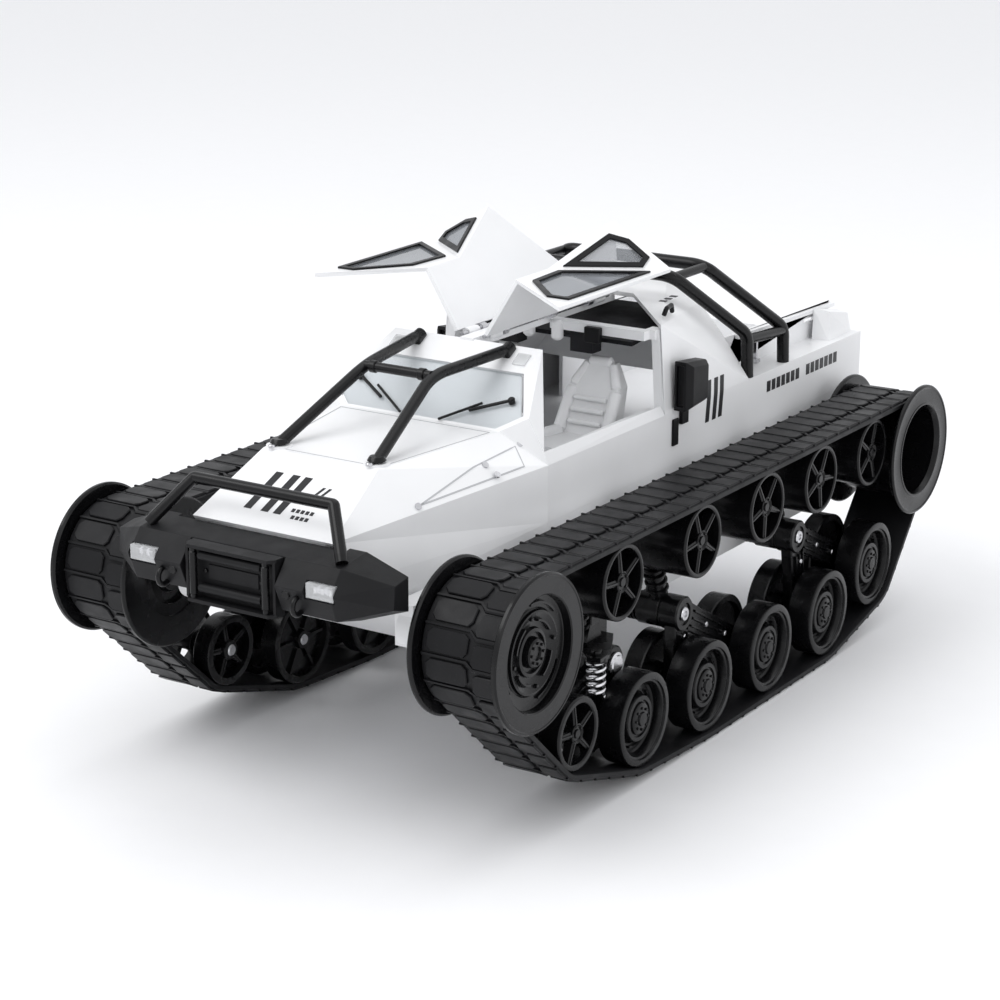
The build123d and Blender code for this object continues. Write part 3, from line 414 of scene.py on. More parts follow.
def belt_piece(side, sign):
    route = belt_route(circles(side))
    total = sum(r[3] for r in route)
    count = round(total / PITCH)
    pitch = total / count
    x0 = BELT_X0 if sign > 0 else -BELT_X1
    wide = BELT_X1 - BELT_X0
    b = Build()

    def at(u, s, lift):
        y, z = belt_point(route, total, s, lift)
        return (x0 + u, y, z)

    band = []
    steps = count * 6
    for k in range(steps):
        s = total * k / steps
        band.append([at(0.0, s, 0.25), at(0.5, s, 0.0), at(wide - 0.5, s, 0.0), at(wide, s, 0.25),
                     at(wide, s, BELT_T - 0.3), at(wide - 0.5, s, BELT_T), at(0.5, s, BELT_T),
                     at(0.0, s, BELT_T - 0.3)])
    b.stack(band, closed=True)
    half = pitch / 2
    step = pitch * 0.27
    rib = [(0.5, -0.55), (21.4, -0.55), (24.6, step - 0.55), (wide - 0.4, step - 0.55),
           (wide - 0.4, step + 0.55), (24.2, step + 0.55), (21.0, 0.55), (0.5, 0.55)]
    plate = [(2.4, -half + 3.4), (4.6, -half + 1.35), (19.2, -half + 1.35), (21.4, -half + 3.0),
             (21.4, half - 3.4), (19.6, half - 1.35), (4.6, half - 1.35), (2.4, half - 3.4)]
    stub = [(24.4, -half + 1.9 + step), (26.0, -half + 1.35 + step), (wide - 0.9, -half + 1.35 + step),
            (wide - 0.9, half - 1.35 + step), (24.6, half - 1.35 + step), (23.2, half - 3.2 + step)]
    for k in range(count):
        s = total * (k + 0.5) / count
        for shape, where, low, high, inset in ((rib, s + half, BELT_T - 0.2, BELT_T + 0.95, 0.22),
                                               (plate, s, BELT_T - 0.2, BELT_T + PAD_T, 0.45),
                                               (stub, s, BELT_T - 0.2, BELT_T + PAD_T, 0.4)):
            mid = (sum(p[0] for p in shape) / len(shape), sum(p[1] for p in shape) / len(shape))
            rings = []
            for lift, pull in ((low, 0.0), (high - 0.35, 0.05), (high, inset)):
                ring = []
                for u, v in shape:
                    du, dv = u - mid[0], v - mid[1]
                    size = math.hypot(du, dv)
                    if shape is rib:
                        ring.append(at(u, where + v * (1 - pull), lift))
                    else:
                        ring.append(at(u - du / size * pull, where + v - dv / size * pull, lift))
                rings.append(ring)
            b.stack(rings)
    ob = b.finish("belt_" + side, RUBBER, "chassis", "rubber", sharp=28)
    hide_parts("track_belt_" + side)
    return ob


for side, sign in SIDES:
    belt_piece(side, sign)


# ---- wheels --------------------------------------------------------------------------------------

def bolts(b, x0, x1, r, count, size, y, z, phase=0.0, sides=6):
    for i in range(count):
        a = phase + 2 * math.pi * i / count
        cy, cz = y + r * math.cos(a), z + r * math.sin(a)
        b.lathe([(x0, size), (x1 - size * 0.25, size), (x1, size * 0.7)], cy, cz, turns=sides)


def spokes(b, count, r0, r1, wide, x0, x1, y, z, phase=0.0):
    """Tapered spokes with a raised centre rib."""
    for i in range(count):
        a = phase + 2 * math.pi * i / count
        c, s = math.cos(a), math.sin(a)

        rings = []
        for r, w in ((r0, wide * 0.62), (r1, wide * 0.45)):
            section = ((x0, -w), (x1 - 0.8, -w), (x1 - 0.4, -w * 0.4), (x1, -w * 0.3),
                       (x1, w * 0.3), (x1 - 0.4, w * 0.4), (x1 - 0.8, w), (x0, w))
            rings.append([radial(x, r, v, c, s, y, z) for x, v in section])
        b.stack(rings)


def road_wheel(y, z):
    b = Build()
    r, x0, x1 = ROAD_R, OUT_X0, OUT_X1
    face = [(x0, 0.0), (x0, 9.0), (x0 + 3.0, 9.5), (x0 + 3.0, 17.0), (x0, 17.6), (x0, 20.1), (x0 + 0.5, r),
            (x1 - 0.9, r), (x1 - 0.25, r - 0.25), (x1, r - 0.8), (x1, 17.6), (x1 - 0.9, 17.3),
            (x1 - 1.1, 16.5), (x1 - 1.5, 16.2), (x1 - 5.2, 15.7), (x1 - 6.0, 15.0), (x1 - 6.4, 11.6),
            (x1 - 6.0, 10.9), (x1 - 3.4, 10.5), (x1 - 2.6, 9.9), (x1 - 2.5, 8.2), (x1 - 3.3, 7.9),
            (x1 - 3.3, 7.2), (x1 - 2.3, 6.9), (x1 - 1.9, 6.3), (x1 - 1.7, 3.2), (x1 - 0.9, 2.9), (x1 - 0.8, 0.0)]
    b.lathe(face, y, z, turns=72)
    bolts(b, x1 - 3.4, x1 - 1.1, 4.8, 8, 0.62, y, z)
    for k in range(6):
        a = 10 + 60 * k
        b.arc(x1 - 6.6, x1 - 5.0, 12.4, 13.5, a, a + 34, y, z)
    inner = [(IN_X0, 0.0), (IN_X0, 4.2), (76.3, 4.6), (76.6, 17.0), (73.7, 17.6), (IN_X0, 18.4),
             (IN_X0, 20.1), (74.0, r), (82.0, r), (IN_X1, 20.1), (IN_X1, 17.6), (80.0, 17.0), (79.4, 6.2),
             (84.6, 5.6), (85.0, 5.0), (85.0, 0.0)]
    b.lathe(inner, y, z, turns=64)
    for k in range(6):
        a = 2 * math.pi * k / 6
        c, s = math.cos(a), math.sin(a)
        web = ((5, 0.7), (17.2, 0.7), (17.2, -0.7), (5, -0.7))
        b.prism(*[[radial(x, r_web, w, c, s, y, z) for r_web, w in web] for x in (75.0, 77.0)])
    b.lathe([(84.0, 0.0), (84.0, 3.0), (95.0, 3.0), (95.0, 0.0)], y, z, turns=24)
    b.lathe([(92.6, 0.0), (92.6, 4.6), (93.0, 5.2), (96.0, 5.4), (96.0, 0.0)], y, z, turns=32)
    return b


def axle_end(y, z, x0, size):
    b = Build()
    profile = [(x0, 0.0), (x0, size - 0.4), (x0 + 0.4, size), (x0 + 2.0, size), (x0 + 2.0, 0.0)]
    b.lathe(profile, y, z, turns=28)
    return b


def spoked(y, z, r, rim, x1, depth, x_back, hub, phase):
    """Thin-rimmed spoked outer face with a drum behind it."""
    b = Build()
    x0 = x1 - depth
    tyre = [(x0, r - rim), (x0, r - 0.4), (x0 + 0.3, r), (x1 - 0.7, r), (x1, r - 0.7),
            (x1, r - rim + 0.4), (x1 - 0.5, r - rim)]
    b.ring(eased(tyre, 0.2), y, z, turns=64)
    spokes(b, 5, hub * 0.7, r - rim + 0.5, 2.4, x1 - 5.0, x1 - 0.6, y, z, phase)
    boss = [(x_back + 1.0, 0.0), (x_back + 1.0, hub), (x1 - 0.8, hub), (x1 - 0.4, hub - 0.5),
            (x1 - 1.2, hub - 1.2), (x1 - 1.2, hub * 0.45), (x1 - 0.5, hub * 0.4), (x1 - 0.5, 0.0)]
    b.lathe(boss, y, z, turns=36)
    return b


def tension_wheel(y, z):
    b = spoked(y, z, TENSION_R, 3.0, SPOKED_OUT, 10.0, 92.0, 4.4, math.radians(100))
    b.lathe([(73.5, 0.0), (73.5, 4.0), (74.0, 4.4), (82.5, 4.4), (85.0, 4.0), (85.0, 0.0)], y, z, turns=32)
    rim = [(IN_X0, 12.6), (IN_X0, 15.5), (74.0, TENSION_R), (82.0, TENSION_R), (IN_X1, 15.4), (IN_X1, 12.6)]
    b.ring(eased(rim, 0.2), y, z, 64)
    b.lathe([(79.5, 0.0), (79.5, 13.0), (80.5, 13.0), (80.5, 0.0)], y, z, turns=40)
    spokes_in = Build()
    spokes(spokes_in, 5, 3.0, 13.2, 2.4, 0.0, 4.5, y, z, math.radians(100))
    spokes_in.verts = [(79.0 - x, vy, vz) for x, vy, vz in spokes_in.verts]
    b.joined(spokes_in)
    b.lathe([(84.0, 0.0), (84.0, 3.0), (96.5, 3.0), (96.5, 0.0)], y, z, turns=24)
    return b


def return_roller(y, z, k):
    b = spoked(y, z, ROLLER_R, 2.2, SPOKED_OUT, 28.0, 76.5, 4.6, math.radians(90 + 11 * k))
    b.lathe([(92.0, 0.0), (92.0, 14.6), (93.0, 14.6), (93.0, 0.0)], y, z, turns=40)
    back = Build()
    spokes(back, 5, 3.4, 14.6, 2.2, 0.0, 4.0, y, z, math.radians(90 + 11 * k))
    back.verts = [(81.0 - x, vy, vz) for x, vy, vz in back.verts]
    b.joined(back)
    b.lathe([(76.6, 0.0), (76.6, 4.0), (77.0, 4.6), (92.5, 4.6), (92.5, 0.0)], y, z, turns=32)
    return b


def inner_flange(b, y, z):
    rim = [(FLANGE_IN, 19.0), (FLANGE_IN, 31.6), (71.8, FLANGE_R), (72.9, FLANGE_R), (73.6, 31.6),
           (73.6, 19.0)]
    b.ring(eased(rim, 0.2), y, z, 96)


def front_drum(y, z):
    b = Build()
    x1 = FLANGE_OUT
    outer = [(x1 - 6.6, 0.0), (x1 - 6.6, 24.0), (109.8, 24.4), (109.8, 31.6), (110.5, 32.5), (x1 - 0.7, 32.5),
             (x1, 31.8), (x1, 31.2), (x1 - 0.3, 30.8), (x1 - 0.3, 24.0), (x1 - 0.8, 23.5), (x1 - 4.0, 23.1),
             (x1 - 4.4, 22.4), (x1 - 4.6, 18.0), (x1 - 4.2, 17.4), (x1 - 3.0, 17.0), (x1 - 2.9, 16.2),
             (x1 - 5.2, 11.4), (x1 - 5.2, 10.2), (x1 - 3.8, 9.7), (x1 - 3.6, 8.4), (x1 - 5.0, 7.8),
             (x1 - 5.0, 6.4), (x1 - 2.3, 5.9), (x1 - 1.7, 5.3), (x1 - 1.6, 2.9), (x1 - 2.4, 2.6),
             (x1 - 2.4, 0.0)]
    b.lathe(outer, y, z, turns=96)
    bolts(b, x1 - 2.4, x1 - 0.9, 4.2, 8, 0.62, y, z)
    for k in range(4):
        a = 30 + 90 * k
        b.arc(x1 - 4.7, x1 - 2.9, 12.4, 13.5, a, a + 48, y, z)
        bolts(b, x1 - 4.6, x1 - 2.6, 14.4, 1, 0.8, y, z, phase=math.radians(a + 68), sides=12)
    for k in range(3):
        b.arc(x1 - 5.0, x1 - 3.4, 19.4, 20.6, 40 + 120 * k, 96 + 120 * k, y, z, steps=12)
    b.lathe([(74.0, 0.0), (74.0, 24.2), (106.4, 24.2), (106.4, 0.0)], y, z, turns=64)
    b.ring([(106.0, 23.4), (106.0, 24.2), (110.2, 24.2), (110.2, 23.4)], y, z, turns=64)
    inner_flange(b, y, z)
    b.ring([(72.2, 14.0), (71.9, 19.2), (75.0, 19.2), (75.0, 14.0)], y, z, turns=64)
    b.ring([(71.5, 5.0), (71.2, 8.0), (73.4, 9.2), (74.2, 14.4), (75.5, 14.4), (75.5, 5.0)], y, z, turns=48)
    return b


def rear_drum(y, z):
    b = Build()
    x1 = FLANGE_OUT
    rim = [(110.0, 21.5), (110.0, 31.6), (110.6, FLANGE_R), (x1 - 0.7, FLANGE_R), (x1, 31.8), (x1, 31.0),
           (x1 - 0.35, 30.6), (x1 - 0.35, 23.8), (x1, 23.4), (x1, 22.6), (x1 - 0.8, 22.2)]
    b.ring(eased(rim, 0.15), y, z, turns=96)
    b.ring([(90.0, 22.0), (90.0, 24.2), (111.0, 24.2), (111.0, 22.2)], y, z, turns=80)
    well = [(74.0, 0.0), (74.0, 24.2), (91.0, 24.2), (91.0, 19.0), (89.9, 18.4), (89.9, 11.5), (93.4, 10.4),
            (94.0, 9.6), (94.0, 5.0), (93.0, 4.6), (93.0, 0.0)]
    b.lathe(well, y, z, turns=80)
    bolts(b, 89.6, 91.4, 14.8, 6, 1.1, y, z)
    for k in range(12):
        a = 2 * math.pi * k / 12
        c, s = math.cos(a), math.sin(a)
        foot = ((21.0, -0.5), (22.3, -0.5), (22.3, 0.5), (21.0, 0.5))
        tip = ((21.6, -0.5), (22.3, -0.5), (22.3, 0.5), (21.6, 0.5))
        b.prism([radial(90.5, r, w, c, s, y, z) for r, w in foot],
                [radial(104.0, r, w, c, s, y, z) for r, w in tip])
    inner_flange(b, y, z)
    b.ring([(72.2, 9.0), (71.9, 19.2), (75.0, 19.2), (75.0, 9.0)], y, z, turns=64)
    return b


def put_axle_end(node, name, body, sign):
    c = middle(node)
    pin = axle_end(c.y - SHIFT, c.z, AXLE_END_X, AXLE_END_R)
    on_side(pin, sign).finish(name, STEEL, body, "steel")


def put_wheel(make, node, name, body, sign, material, *extra):
    c = middle(node)
    b = make(c.y - SHIFT, c.z, *extra)
    ob = on_side(b, sign).finish(name, material, body, "black_gloss")
    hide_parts(node)
    return ob


for side, sign in SIDES:
    put_wheel(front_drum, "front_drum_" + side, "idler_drum_" + side, "idler_" + side, sign, GLOSS)
    put_wheel(rear_drum, "rear_drum_" + side, "drive_drum_" + side, "drive_" + side, sign, GLOSS)
    put_wheel(tension_wheel, "tension_wheel_" + side, "tension_spoked_" + side, "tensioner_" + side, sign,
              GLOSS)
    put_axle_end("tension_wheel_" + side, "tension_axle_end_" + side, "tensioner_" + side, sign)
    for i in range(1, 6):
        wheel, roller = f"road_wheel_{i}_{side}", f"return_roller_{i}_{side}"
        put_wheel(road_wheel, wheel, f"wheel_{i}_dished_{side}", f"wheel_{i}_{side}", sign, GLOSS)
        put_axle_end(wheel, f"wheel_{i}_axle_end_{side}", f"wheel_{i}_{side}", sign)
        put_wheel(return_roller, roller, f"roller_{i}_spoked_{side}", f"roller_{i}_{side}", sign, GLOSS, i)


# ---- suspension ----------------------------------------------------------------------------------

ROAD = [(-85.9, 27.7), (-28.2, 24.5), (30.4, 24.5), (89.5, 24.5), (139.0, 35.8)]
TENSION = (-138.3, 38.4)
ROCKERS = {"front": ((-88.0, 50.5), (TENSION, ROAD[0])), "middle": ((-27.0, 55.0), (ROAD[1], ROAD[2])),
           "rear": ((84.0, 61.5), (ROAD[3], ROAD[4]))}
LEG_IN, LEG_OUT = 86.0, 92.0


def capsule(p, rp, q, rq, steps=12):
    """Outline round two circles in the side view."""
    a = math.atan2(q[1] - p[1], q[0] - p[0])
    pts = []
    for centre, r, start in ((q, rq, a - math.pi / 2), (p, rp, a + math.pi / 2)):
        for i in range(steps + 1):
            t = start + math.pi * i / steps
            pts.append((centre[0] + r * math.cos(t), centre[1] + r * math.sin(t)))
    return pts


def slab(b, p, rp, q, rq, x0, x1, ease=0.6):
    """Rounded arm between two circles, with eased edges."""
    rings = []
    for x, cut in ((x0, ease), (x0 + ease, 0.0), (x1 - ease, 0.0), (x1, ease)):
        rings.append([(x, y, z) for y, z in capsule(p, rp - cut, q, rq - cut)])
    b.stack(rings)


def rocker(pivot, wheels):
    b = Build()
    for w in wheels:
        slab(b, pivot, 6.4, w, 5.4, LEG_IN, LEG_OUT)
        dy, dz = w[0] - pivot[0], w[1] - pivot[1]
        size = math.hypot(dy, dz)
        dy, dz = dy / size, dz / size
        for off in (-3.4, 0.0, 3.4):
            rows = []
            for along, half in ((9.0, 0.55), (size - 8.5, 0.45)):
                cy, cz = pivot[0] + dy * along, pivot[1] + dz * along
                off_here = off * (1.0 if along < 10 else 0.8)
                section = ((91.6, -half), (93.2, -half * 0.6), (93.2, half * 0.6), (91.6, half))
                rows.append([(x, cy - dz * (off_here + h), cz + dy * (off_here + h)) for x, h in section])
            b.stack(rows)
        b.lathe([(LEG_IN, 0.0), (LEG_IN, 5.6), (LEG_IN + 0.6, 6.2), (LEG_OUT, 6.2), (LEG_OUT + 0.6, 5.6),
                 (LEG_OUT + 0.6, 0.0)], w[0], w[1], turns=36)
    boss = [(83.4, 0.0), (83.4, 7.4), (84.0, 8.0), (92.3, 8.0), (93.0, 7.3), (93.0, 5.2), (92.2, 4.8),
            (92.2, 0.0)]
    b.lathe(boss, *pivot, turns=44)
    return b


def rocker_screws(pivot, wheels):
    b = Build()
    head = [(92.0, 0.0), (92.0, 3.2), (93.0, 3.2), (93.4, 2.8), (93.4, 1.5), (92.8, 1.3), (92.8, 0.0)]
    b.lathe(head, *pivot, turns=24)
    for w in wheels:
        for t in (0.34, 0.66):
            y, z = pivot[0] + (w[0] - pivot[0]) * t, pivot[1] + (w[1] - pivot[1]) * t
            b.lathe([(91.8, 0.0), (91.8, 1.2), (93.5, 1.2), (93.8, 0.9), (93.8, 0.0)], y, z, turns=16)
    return b


def strut(pivot, x_neck, low, high):
    """Barrel from the hull to the rocker pivot with a ribbed neck leaning up to the hull."""
    b = Build()
    barrel = [(61.0, 0.0), (61.0, 6.6), (64.0, 6.0), (71.4, 6.0), (72.0, 7.6), (82.6, 7.6), (83.2, 7.0),
              (83.2, 4.6), (82.4, 4.2), (82.4, 0.0)]
    b.lathe(barrel, *pivot, turns=40)
    for k in range(3):
        x0, x1 = 65.6 + 2.0 * k, 66.6 + 2.0 * k
        b.ring(eased([(x0, 5.0), (x0, 6.8), (x1, 6.8), (x1, 5.0)], 0.2), *pivot, turns=36)
    a, c = Vector((x_neck, *low)), Vector((x_neck, *high))
    b.rod(a, c, 4.4, 3.8, caps=0.3)
    for t in (0.35, 0.58, 0.81, 1.0):
        at = a.lerp(c, t)
        d = (c - a).normalized()
        b.rod(at - d * 0.7, at + d * 0.7, 5.2, caps=0.35)
    b.rod(c, Vector((62.0, high[0], high[1])), 3.4, caps=0.3)
    return b


STRUTS = {"front": (80.0, (-93.0, 57.0), (-98.0, 75.5)), "middle": (80.0, (-27.0, 60.0), (-33.0, 76.0)),
          "rear": (80.0, (84.0, 68.0), (80.0, 76.0))}
SPRING_AT = (97.2, -110.0)


def front_bracket():
    """Upper tube, arm and shelf that hold the front coil spring."""
    b = Build()
    upper, lower = (-88.0, 70.0), ROCKERS["front"][0]
    b.lathe([(62.0, 0.0), (62.0, 5.4), (82.8, 5.4), (83.2, 5.0), (83.2, 0.0)], *upper, turns=32)
    slab(b, upper, 6.6, lower, 6.6, 83.2, 85.4, 0.4)
    shelf = [(83.4, -84.0), (90.0, -84.0), (101.7, -106.0), (101.7, -114.0), (96.0, -115.5), (83.4, -104.0)]
    b.stack([[(x, y, z) for x, y in shelf] for z in (60.6, 62.4)])
    x, y = SPRING_AT
    b.rod((x, y, 59.6), (x, y, 62.6), 4.9, 4.4, caps=0.3)
    b.rod((x, y, 62.2), (x, y, 64.6), 2.4, caps=0.3)
    b.prism([(84.0, -102.0, 60.7), (87.0, -102.0, 60.7), (87.0, -88.0, 60.7), (84.0, -88.0, 60.7)],
            [(83.4, -95.0, 68.5), (85.2, -95.0, 68.5), (85.2, -88.5, 68.5), (83.4, -88.5, 68.5)])
    return b


for side, sign in SIDES:
    struts = Build()
    for where, (pivot, wheels) in ROCKERS.items():
        pieces = [(rocker(pivot, wheels), "rocker_arms_", GLOSS, "black_trim"),
                  (rocker_screws(pivot, wheels), "rocker_screws_", STEEL, "steel")]
        for b, stem, material, slot in pieces:
            ob = on_side(b, sign).finish(f"{stem}{where}_{side}", material, f"rocker_{where}_{side}", slot)
            if material is GLOSS:
                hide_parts(f"bogie_{where}_{side}")
        struts.joined(strut(pivot, *STRUTS[where]))
    struts.joined(front_bracket())
    ob = on_side(struts, sign).finish("strut_set_" + side, GLOSS, "chassis", "black_trim")
    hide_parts("suspension_struts")
    chrome = Build()
    chrome.lathe([(93.0, 0.0), (93.0, 5.0), (93.4, 5.3), (94.2, 5.3), (94.4, 4.2), (95.0, 3.8), (95.2, 0.0)],
                 *ROCKERS["front"][0], turns=36)
    on_side(chrome, sign).finish("front_pivot_cap_" + side, STEEL, "rocker_front_" + side, "steel")


# ---- bumper fittings, bars and wipers ------------------------------------------------------------

def pipe(b, points, r, bend, turns=20):
    """Round tube along a path with eased corners."""
    pts = [Vector(p) for p in points]
    path = [pts[0]]
    for a, c, d in zip(pts, pts[1:], pts[2:]):
        u, v = (a - c).normalized(), (d - c).normalized()
        reach = min(bend, (a - c).length * 0.48, (d - c).length * 0.48)
        p, q = c + u * reach, c + v * reach
        for i in range(9):
            t = i / 8
            path.append(p * (1 - t) ** 2 + c * 2 * t * (1 - t) + q * t ** 2)
    path.append(pts[-1])
    side = (path[1] - path[0]).orthogonal().normalized()
    rings = []
    for i, at in enumerate(path):
        d = (path[min(i + 1, len(path) - 1)] - path[max(i - 1, 0)]).normalized()
        side = (side - d * side.dot(d)).normalized()
        other = d.cross(side)
        rings.append([tuple(at + (side * math.cos(w) + other * math.sin(w)) * r)
                      for w in [2 * math.pi * k / turns for k in range(turns)]])
    b.stack(rings)


BAR_FOOT, BAR_BEND, BAR_TOP = (24.7, -162.8, 146.2), (17.1, -112.7, 170.4), (23.4, -67.0, 172.9)
bars = Build()
pads = Build()
for s in (1, -1):
    row = [(s * x, y, z) for x, y, z in (BAR_FOOT, BAR_BEND, BAR_TOP)]
    pipe(bars, row, 2.5, 9.0)
    bars.rod((s * 24.7, -162.8, 146.6), (s * 24.7, -162.8, 148.6), 4.0, 3.2, caps=0.3)
    bars.rod((s * 23.4, -67.6, 171.4), (s * 23.4, -61.5, 173.9), 3.1, 2.8, caps=0.4)
    pads.rod((s * 24.7, -168.0, 145.6), (s * 24.7, -168.0, 147.0), 1.5, caps=0.3)
bars.rod(BAR_BEND, (-BAR_BEND[0], *BAR_BEND[1:]), 2.1)
bars.rod((11.0, *BAR_BEND[1:]), (14.0, *BAR_BEND[1:]), 2.7, caps=0.3)
bars.rod((-11.0, *BAR_BEND[1:]), (-14.0, *BAR_BEND[1:]), 2.7, caps=0.3)
WIPERS = ((((22.4, -92.7, 152.0), (39.5, -85.7, 157.3)), ((10.5, -98.6, 147.7), (26.9, -88.9, 155.0))),
          (((-39.3, -85.5, 157.5), (-23.0, -93.4, 151.6)), ((-28.0, -88.6, 155.3), (-9.5, -98.2, 148.0))))
for arm, blade in WIPERS:
    bars.rod(*arm, 0.75, caps=0.15, turns=12)
    bars.rod(*blade, 0.6, caps=0.15, turns=12)
    hub = arm[0] if abs(arm[0][0]) > abs(arm[1][0]) else arm[1]
    low, high = (hub[0], hub[1] + 0.4, hub[2] - 1.8), (hub[0], hub[1] - 0.4, hub[2] + 1.0)
    bars.rod(low, high, 1.5, caps=0.3, turns=16)
ob = bars.finish("screen_bars_and_wipers", TUBE, "chassis", "black_tube")
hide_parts("windscreen_trim")
pads.finish("bar_foot_screws", STEEL, "chassis", "steel")

guide = Build()
GUIDE_X = 22.4
lip = [(-GUIDE_X, -221.7), (-GUIDE_X, -226.4), (-GUIDE_X + 2.4, -229.5), (GUIDE_X - 2.4, -229.5),
       (GUIDE_X, -226.4), (GUIDE_X, -221.7)]
for z0, z1 in ((97.6, 99.1), (119.9, 121.4)):
    guide.prism([(x, y, z0) for x, y in lip], [(x, y, z1) for x, y in lip])
for x in (-22.4, 20.9):
    guide.box(x, x + 1.5, -227.4, -221.7, 98.6, 120.4)
guide.box(-22.0, 22.0, -224.6, -221.7, 98.4, 120.6)
guide.box(-12.5, 12.5, -225.2, -224.4, 107.0, 113.2)
for z in (103.6, 117.0):
    guide.rod((-15.6, -227.0, z), (15.6, -227.0, z), 1.8, caps=0.4)
for s in (1, -1):
    guide.box(s * 33.5 - 2.0, s * 33.5 + 2.0, -228.2, -224.0, 108.0, 113.0)
ob = guide.finish("rope_guide_frame", BUMPER, "chassis", "black_gloss", bevel=0.3)
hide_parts("bumper_fittings")
rollers = Build()
for x in (-18.0, 18.0):
    rollers.rod((x, -227.9, 99.1), (x, -227.9, 119.9), 1.3)
    rollers.rod((x, -227.9, 100.6), (x, -227.9, 118.6), 1.65, caps=0.4)
for s in (1, -1):
    turns = [math.pi * k / 6 for k in range(12)]
    loop = [(s * 33.5 + 1.15 * math.cos(t), 3.5 + 1.15 * math.sin(t)) for t in turns]
    rollers.ring(loop, -227.6, 105.2, turns=36)
rollers.finish("rope_rollers_and_tow_rings", GLOSS, "chassis", "black_gloss")
screws = Build()
for x in (-28.2, 28.2):
    screws.rod((x, -226.6, 109.0), (x, -229.0, 109.0), 2.0, caps=0.3, turns=6)
for x, z in ((-14.0, 110.1), (14.0, 110.1), (-20.0, 118.4), (20.0, 118.4)):
    screws.rod((x, -224.4, z), (x, -225.6, z), 0.9, caps=0.2, turns=12)
screws.finish("bumper_screws", GLOSS, "chassis", "black_gloss")
reflectors = Build()
for s in (1, -1):
    for k in range(3):
        x0 = s * (39.4 + 3.6 * k)
        x1 = x0 + s * 3.0
        lo, hi = min(x0, x1), max(x0, x1)
        reflectors.prism([(lo, -224.9, 110.4), (hi, -224.9, 110.4), (hi, -224.9, 114.6), (lo, -224.9, 114.6)],
                         [(lo + 0.8, -226.4, 111.4), (hi - 0.8, -226.4, 111.4), (hi - 0.8, -226.4, 113.6),
                          (lo + 0.8, -226.4, 113.6)])
reflectors.finish("lamp_reflectors", MIRROR, "chassis", "steel")


# ---- cabin details -------------------------------------------------------------------------------

seats = Build()
for s in (1, -1):
    for dx in (-12.5, 12.5):
        seats.rod((s * 25.0 + dx, -36.0, 124.5), (s * 25.0 + dx, -4.0, 122.0), 3.0, caps=1.4)
        seats.rod((s * 25.0 + dx, -4.0, 122.0), (s * 25.0 + dx * 0.92, 7.0, 141.0), 3.0, caps=1.4)
        seats.rod((s * 25.0 + dx * 0.92, 7.0, 141.0), (s * 25.0 + dx * 0.5, 12.5, 152.0), 2.6, 2.2, caps=1.2)
    seats.rod((s * 25.0 - 6.0, 12.5, 152.5), (s * 25.0 + 6.0, 12.5, 152.5), 2.6, caps=1.2)
    for z, y in ((127.0, -3.6), (132.0, -1.0), (137.0, 1.6)):
        seats.rod((s * 25.0 - 8.5, y + 1.0, z), (s * 25.0 + 8.5, y + 1.0, z), 1.2, caps=0.5)
    seats.rod((s * 7.6, 2.0, 162.5), (s * 7.6, 2.0, 172.0), 2.8, caps=1.2)
seats.finish("seat_bolsters", CABIN, "chassis", "cabin_white")
under = Build()
for s in (1, -1):
    under.box(min(s * 23.5, s * 31.5), max(s * 23.5, s * 31.5), -1.4, 1.8, 164.0, 171.2)
under.finish("cross_bar_blocks", TRIM, "chassis", "black_trim", bevel=0.5)


# ---- marks, and grey lines of painted shade along recess edges on the body -----------------------

FOLD, NOSE, CREASE = (29.2, -168.0, 145.0), (35.0, -207.0, 125.0), (60.5, -90.0, 133.0)
SCREEN_FOOT = (41.3, -98.4, 146.7)
ROOF_SIDE, TAIL_C, CREASE_REAR = (57.5, 9.0, 174.0), (60.5, 90.0, 133.0), (60.5, 9.0, 133.0)
ROOF_MID, ROOF_END = (15.0, 57.5, 175.0), (15.0, 90.0, 176.6)
NOSE_STRIP = (FOLD, NOSE, (-35.0, -207.0, 125.0))
HOOD = [(FOLD, NOSE, CREASE), (FOLD, SCREEN_FOOT, CREASE), NOSE_STRIP,
        (FOLD, SCREEN_FOOT, (-41.3, -98.4, 146.7))]
SAIL = [(ROOF_SIDE, ROOF_MID, ROOF_END)]


def normal_of(facet):
    a, b, c = (Vector(p) for p in facet)
    n = (b - a).cross(c - a).normalized()
    return n if n.z > 0 else -n


def lay(facets, x, y, lift):
    """Point above (x, y) on the lowest of the given facets, lifted off it."""
    best = None
    for facet in facets:
        n = normal_of(facet)
        z = facet[0][2] - (n.x * (abs(x) - facet[0][0]) + n.y * (y - facet[0][1])) / n.z
        if best is None or z < best[0]:
            best = (z, n)
    z, n = best
    if abs(n.x) > 1e-6:
        n = Vector((math.copysign(n.x, x * n.x), n.y, n.z))
    return Vector((x, y, z)) + n * lift


def strip(b, facets, row, wide, lift=0.14, step=3.0):
    """Thin raised line over the facets through the given (x, y) places."""
    pts = []
    for (xa, ya), (xb, yb) in zip(row, row[1:]):
        count = max(1, int(math.hypot(xb - xa, yb - ya) / step))
        pts += [(xa + (xb - xa) * i / count, ya + (yb - ya) * i / count) for i in range(count)]
    pts.append(row[-1])
    rings = []
    for i, (x, y) in enumerate(pts):
        xa, ya = pts[max(i - 1, 0)]
        xb, yb = pts[min(i + 1, len(pts) - 1)]
        size = math.hypot(xb - xa, yb - ya)
        ex, ey = -(yb - ya) / size * wide / 2, (xb - xa) / size * wide / 2
        rings.append([lay(facets, x - ex, y - ey, -0.1), lay(facets, x - ex, y - ey, lift),
                      lay(facets, x + ex, y + ey, lift), lay(facets, x + ex, y + ey, -0.1)])
    b.stack(rings)


def patch(b, facets, corners, lift=0.16):
    b.prism([lay(facets, x, y, -0.1) for x, y in corners], [lay(facets, x, y, lift) for x, y in corners])
